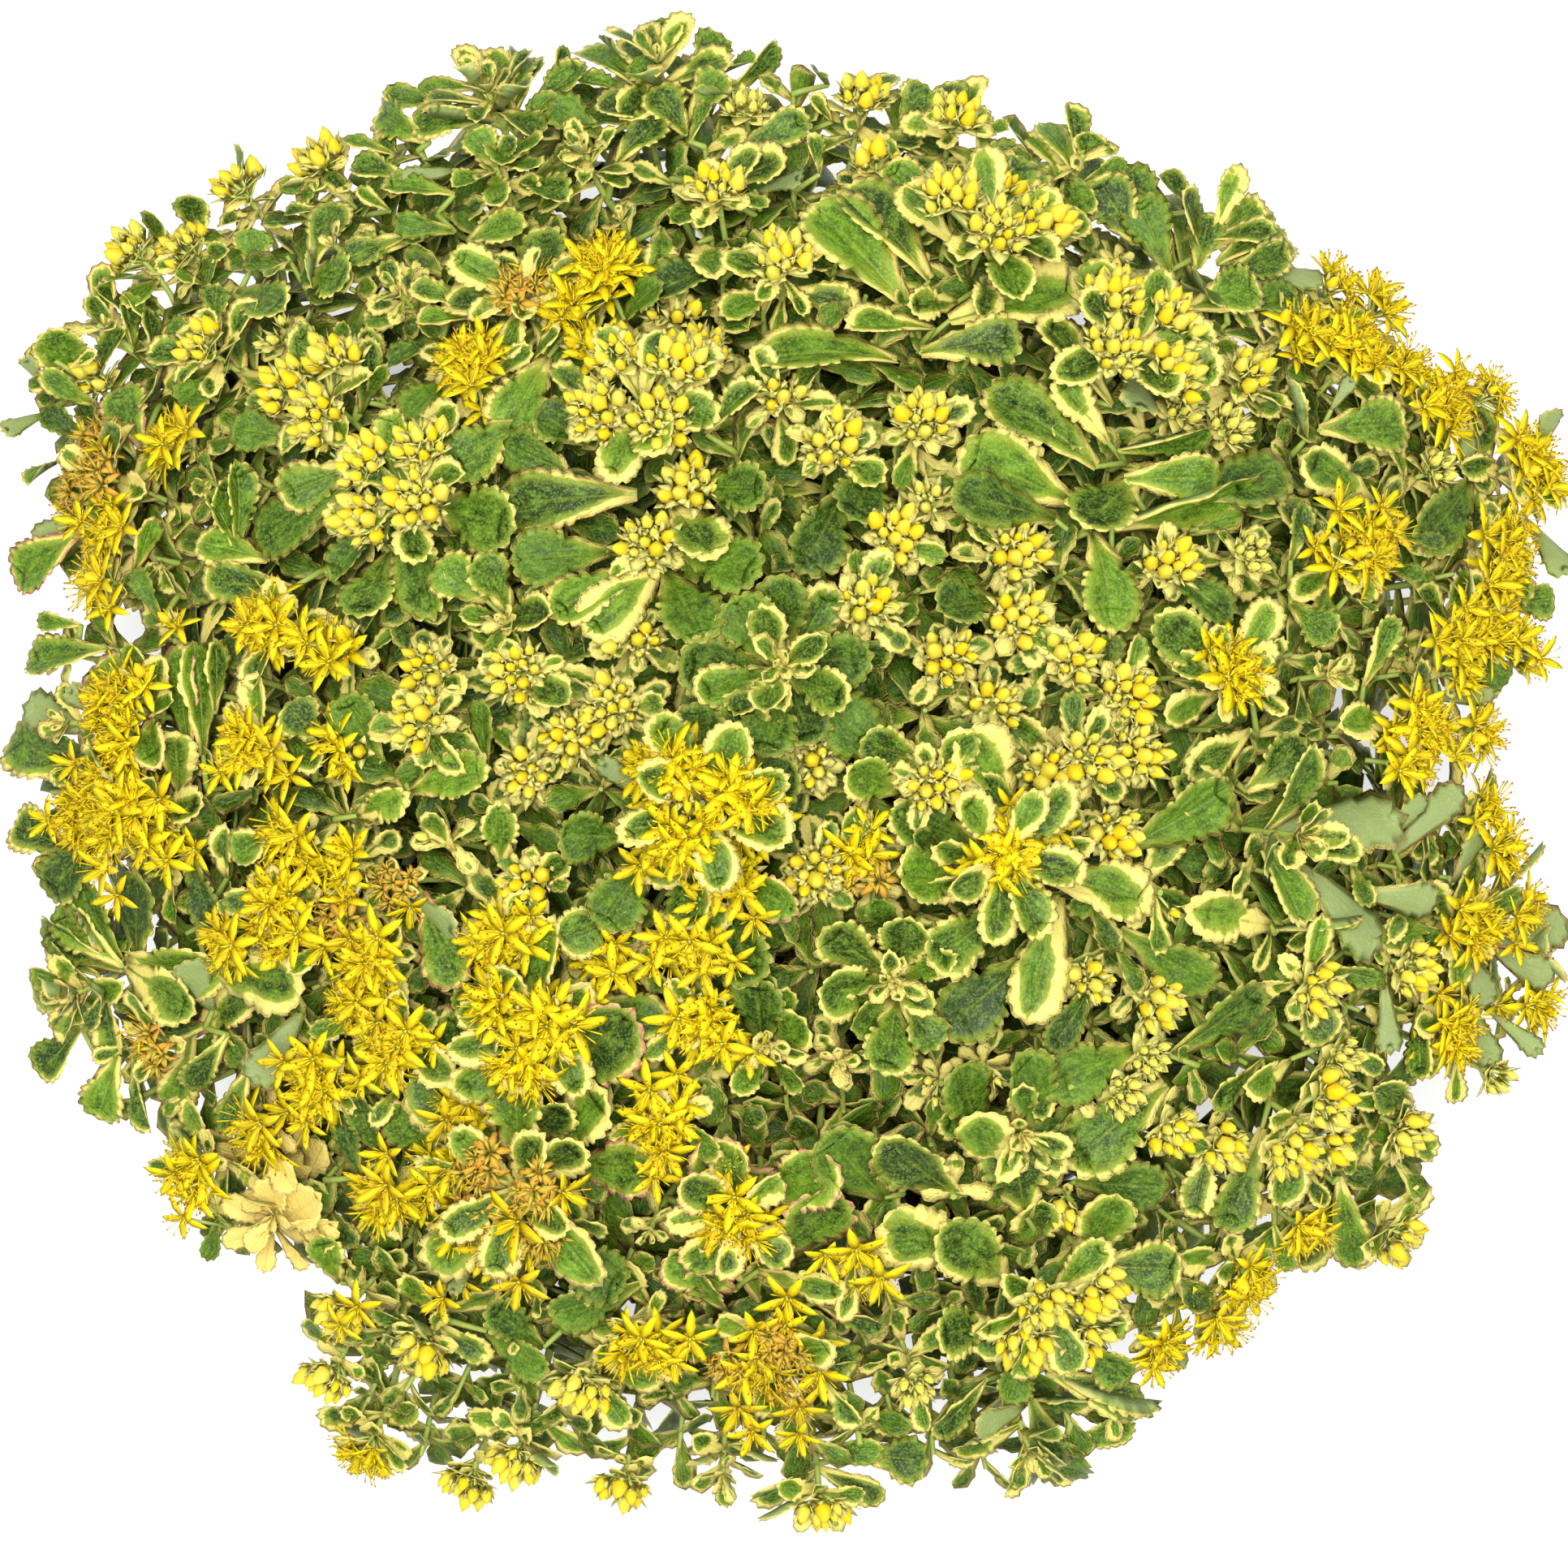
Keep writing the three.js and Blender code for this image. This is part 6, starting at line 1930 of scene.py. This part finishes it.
    def stem(self, start: Vector, way: Vector, shoot: Shoot, bow: float) -> Curve:
        """A curve that leaves a place along a direction and meets a shoot's tip."""
        span = (shoot.tip - start).length
        first = start + way * span * bow
        last = shoot.tip - shoot.axis * span * self.tip_bow
        return Curve((start, first, last, shoot.tip.copy()))

    def lines(self, number: int, name: str) -> bpy.types.Mesh:
        """A clump's stems and twigs as lines with a stored radius."""
        places, edges, thick = [], [], []
        for foot, end in self.twigs[number]:
            low = foot + UP * 0.3 * (end - foot).length
            curve = Curve((foot, low, (low + end) / 2, end))
            for i in range(4):
                places.append(tuple(curve.at(i / 3) * MM))
                thick.append(self.twig_radius * (1.1 - 0.1 * i) * MM)
                if i:
                    edges.append((len(places) - 2, len(places) - 1))
        for shoot in self.clumps[number]:
            wide = self.leader_radius if shoot.leads else self.side_radius * (0.8 if shoot.extra else 1)
            steps = self.steps // 2 if shoot.sunk else self.steps
            for i in range(steps + 1):
                share = i / steps
                places.append(tuple(shoot.curve.at(share) * MM))
                thick.append((wide + (self.tip_radius - wide) * share + 0.12 * math.sin(i * 2.4)) * MM)
                if i:
                    edges.append((len(places) - 2, len(places) - 1))
        mesh = bpy.data.meshes.new(name)
        mesh.from_pydata(places, edges, [])
        store(mesh, "thick", "FLOAT", "value", thick)
        return mesh


@dataclass
class Studio:
    """The camera, the floor and the light."""

    dome: Dome
    floor_size: float = 6.0
    frame_pixels: float = 1932.0
    sensor: float = 36.0

    def build(self, finish: bpy.types.Material) -> None:
        """Makes them all."""
        scene = bpy.context.scene
        camera = bpy.data.cameras.new("view_from_above")
        half = self.frame_pixels / 2 * self.dome.mm_per_pixel / self.dome.lens_distance
        camera.sensor_width = self.sensor
        camera.lens = self.sensor / 2 / half
        seat = bpy.data.objects.new("view_from_above", camera)
        middle = self.dome.seen(*self.dome.axis, self.dome.lens_height)
        seat.location = (middle.x * MM, middle.y * MM, (self.dome.lens_height + self.dome.lens_distance) * MM)
        scene.collection.objects.link(seat)
        scene.camera = seat
        scene.view_settings.view_transform = "Standard"
        mesh = bpy.data.meshes.new("floor")
        h = self.floor_size / 2
        mesh.from_pydata([(-h, -h, 0), (h, -h, 0), (h, h, 0), (-h, h, 0)], [], [(0, 1, 2, 3)])
        floor = bpy.data.objects.new("floor", mesh)
        scene.collection.objects.link(floor)
        mesh.materials.append(finish)
        self.light("window_light", (-0.16, 0.18, 2.1), 0.7, 21.0)
        self.light("fill_light", (0.16, -0.16, 2.2), 1.6, 35.0)
        world = bpy.data.worlds.new("studio")
        scene.world = world
        world.use_nodes = True
        graph = Graph(world.node_tree)
        sky = graph.add("ShaderNodeBackground", {}, {"Color": (1, 1, 1, 1), "Strength": 0.71})
        graph.add("ShaderNodeOutputWorld", {}, {"Surface": sky})

    @staticmethod
    def light(name: str, place: Sequence[float], size: float, power: float) -> None:
        """Adds a soft lamp that looks at the plant."""
        lamp = bpy.data.lights.new(name, "AREA")
        lamp.size = size
        lamp.energy = power
        seat = bpy.data.objects.new(name, lamp)
        seat.location = place
        aim = Vector((0, 0, 0.2)) - Vector(place)
        seat.rotation_euler = aim.to_track_quat("-Z", "Y").to_euler()
        bpy.context.scene.collection.objects.link(seat)


def settle(piece: bpy.types.Object, nodes: Sequence[str] = ()) -> None:
    """Puts a finished piece on the frame and reports it."""
    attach(piece, "root")
    if nodes:
        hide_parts(*nodes)
    log.info("%s: %d faces", piece.name, len(piece.data.polygons))


def merge(first: bpy.types.Object, second: bpy.types.Object) -> bpy.types.Object:
    """Joins two plain pieces into the first."""
    with bpy.context.temp_override(active_object=first, selected_editable_objects=[first, second]):
        bpy.ops.object.join()
    return first


def main() -> None:
    """Builds and dresses every piece in order."""
    scatter, stems = ScatterTree(), StemTree()
    finishes = {kind: kind().material() for kind in
                (LeafFinish, StemFinish, FlowerFinish, PotFinish, SoilFinish, GrainFinish, FloorFinish)}
    Studio(DOME).build(finishes[FloorFinish])

    pot = Pot()
    piece = pot.build()
    piece.data.materials.append(finishes[PotFinish])
    settle(piece, ["pot"])
    soil = Soil(pot)
    piece = soil.build()
    piece.data.materials.append(finishes[SoilFinish])
    settle(piece, ["soil"])
    settle(soil.scatter(scatter, finishes[GrainFinish]))

    plant = Plant(soil)
    plant.sprout()
    leaf_shelf, flower_shelf = Shelf("leaves"), Shelf("flowers")
    foliage = Foliage(shapes=Foliage.shelve(leaf_shelf))
    heads = Heads(foliage, shapes=Heads.shelve(flower_shelf))
    all_leaves, all_flowers = [Points() for _ in plant.clumps], [Points() for _ in plant.clumps]
    plant.gather(foliage, heads, all_leaves, all_flowers)
    for number, clump in enumerate(plant.clumps, 1):
        leaves, flowers = all_leaves[number - 1], all_flowers[number - 1]
        for shoot in clump:
            foliage.clothe(leaves, shoot)
            heads.bloom(flowers, shoot)
        values = {"Shapes": leaf_shelf.collection, "Material": finishes[LeafFinish]}
        piece = scatter.grow(f"leafy_stems_fine_{number:02d}", leaves.mesh("leaf_places"), values)
        clean(piece, ["blade", "under", "nature", "age"])
        values = {"Sides": 6, "Material": finishes[StemFinish]}
        stalks = stems.grow(f"stems_{number:02d}", plant.lines(number - 1, "stem_lines"), values)
        stalks.data.polygons.foreach_set("use_smooth", [True] * len(stalks.data.polygons))
        clean(stalks, [])
        settle(merge(piece, stalks), [f"leafy_stems_{number:02d}"])
        if flowers.places:
            values = {"Shapes": flower_shelf.collection, "Material": finishes[FlowerFinish]}
            piece = scatter.grow(f"flower_heads_fine_{number:02d}", flowers.mesh("flower_places"), values)
            clean(piece, ["bloom", "nature"])
            node = f"flower_head_{number:02d}"
            settle(piece, [node] if node in frame["nodes"] else [])
    leaf_shelf.clear()
    flower_shelf.clear()


if __name__ == "__main__":
    logging.basicConfig(level=logging.INFO, format="%(message)s")
    main()
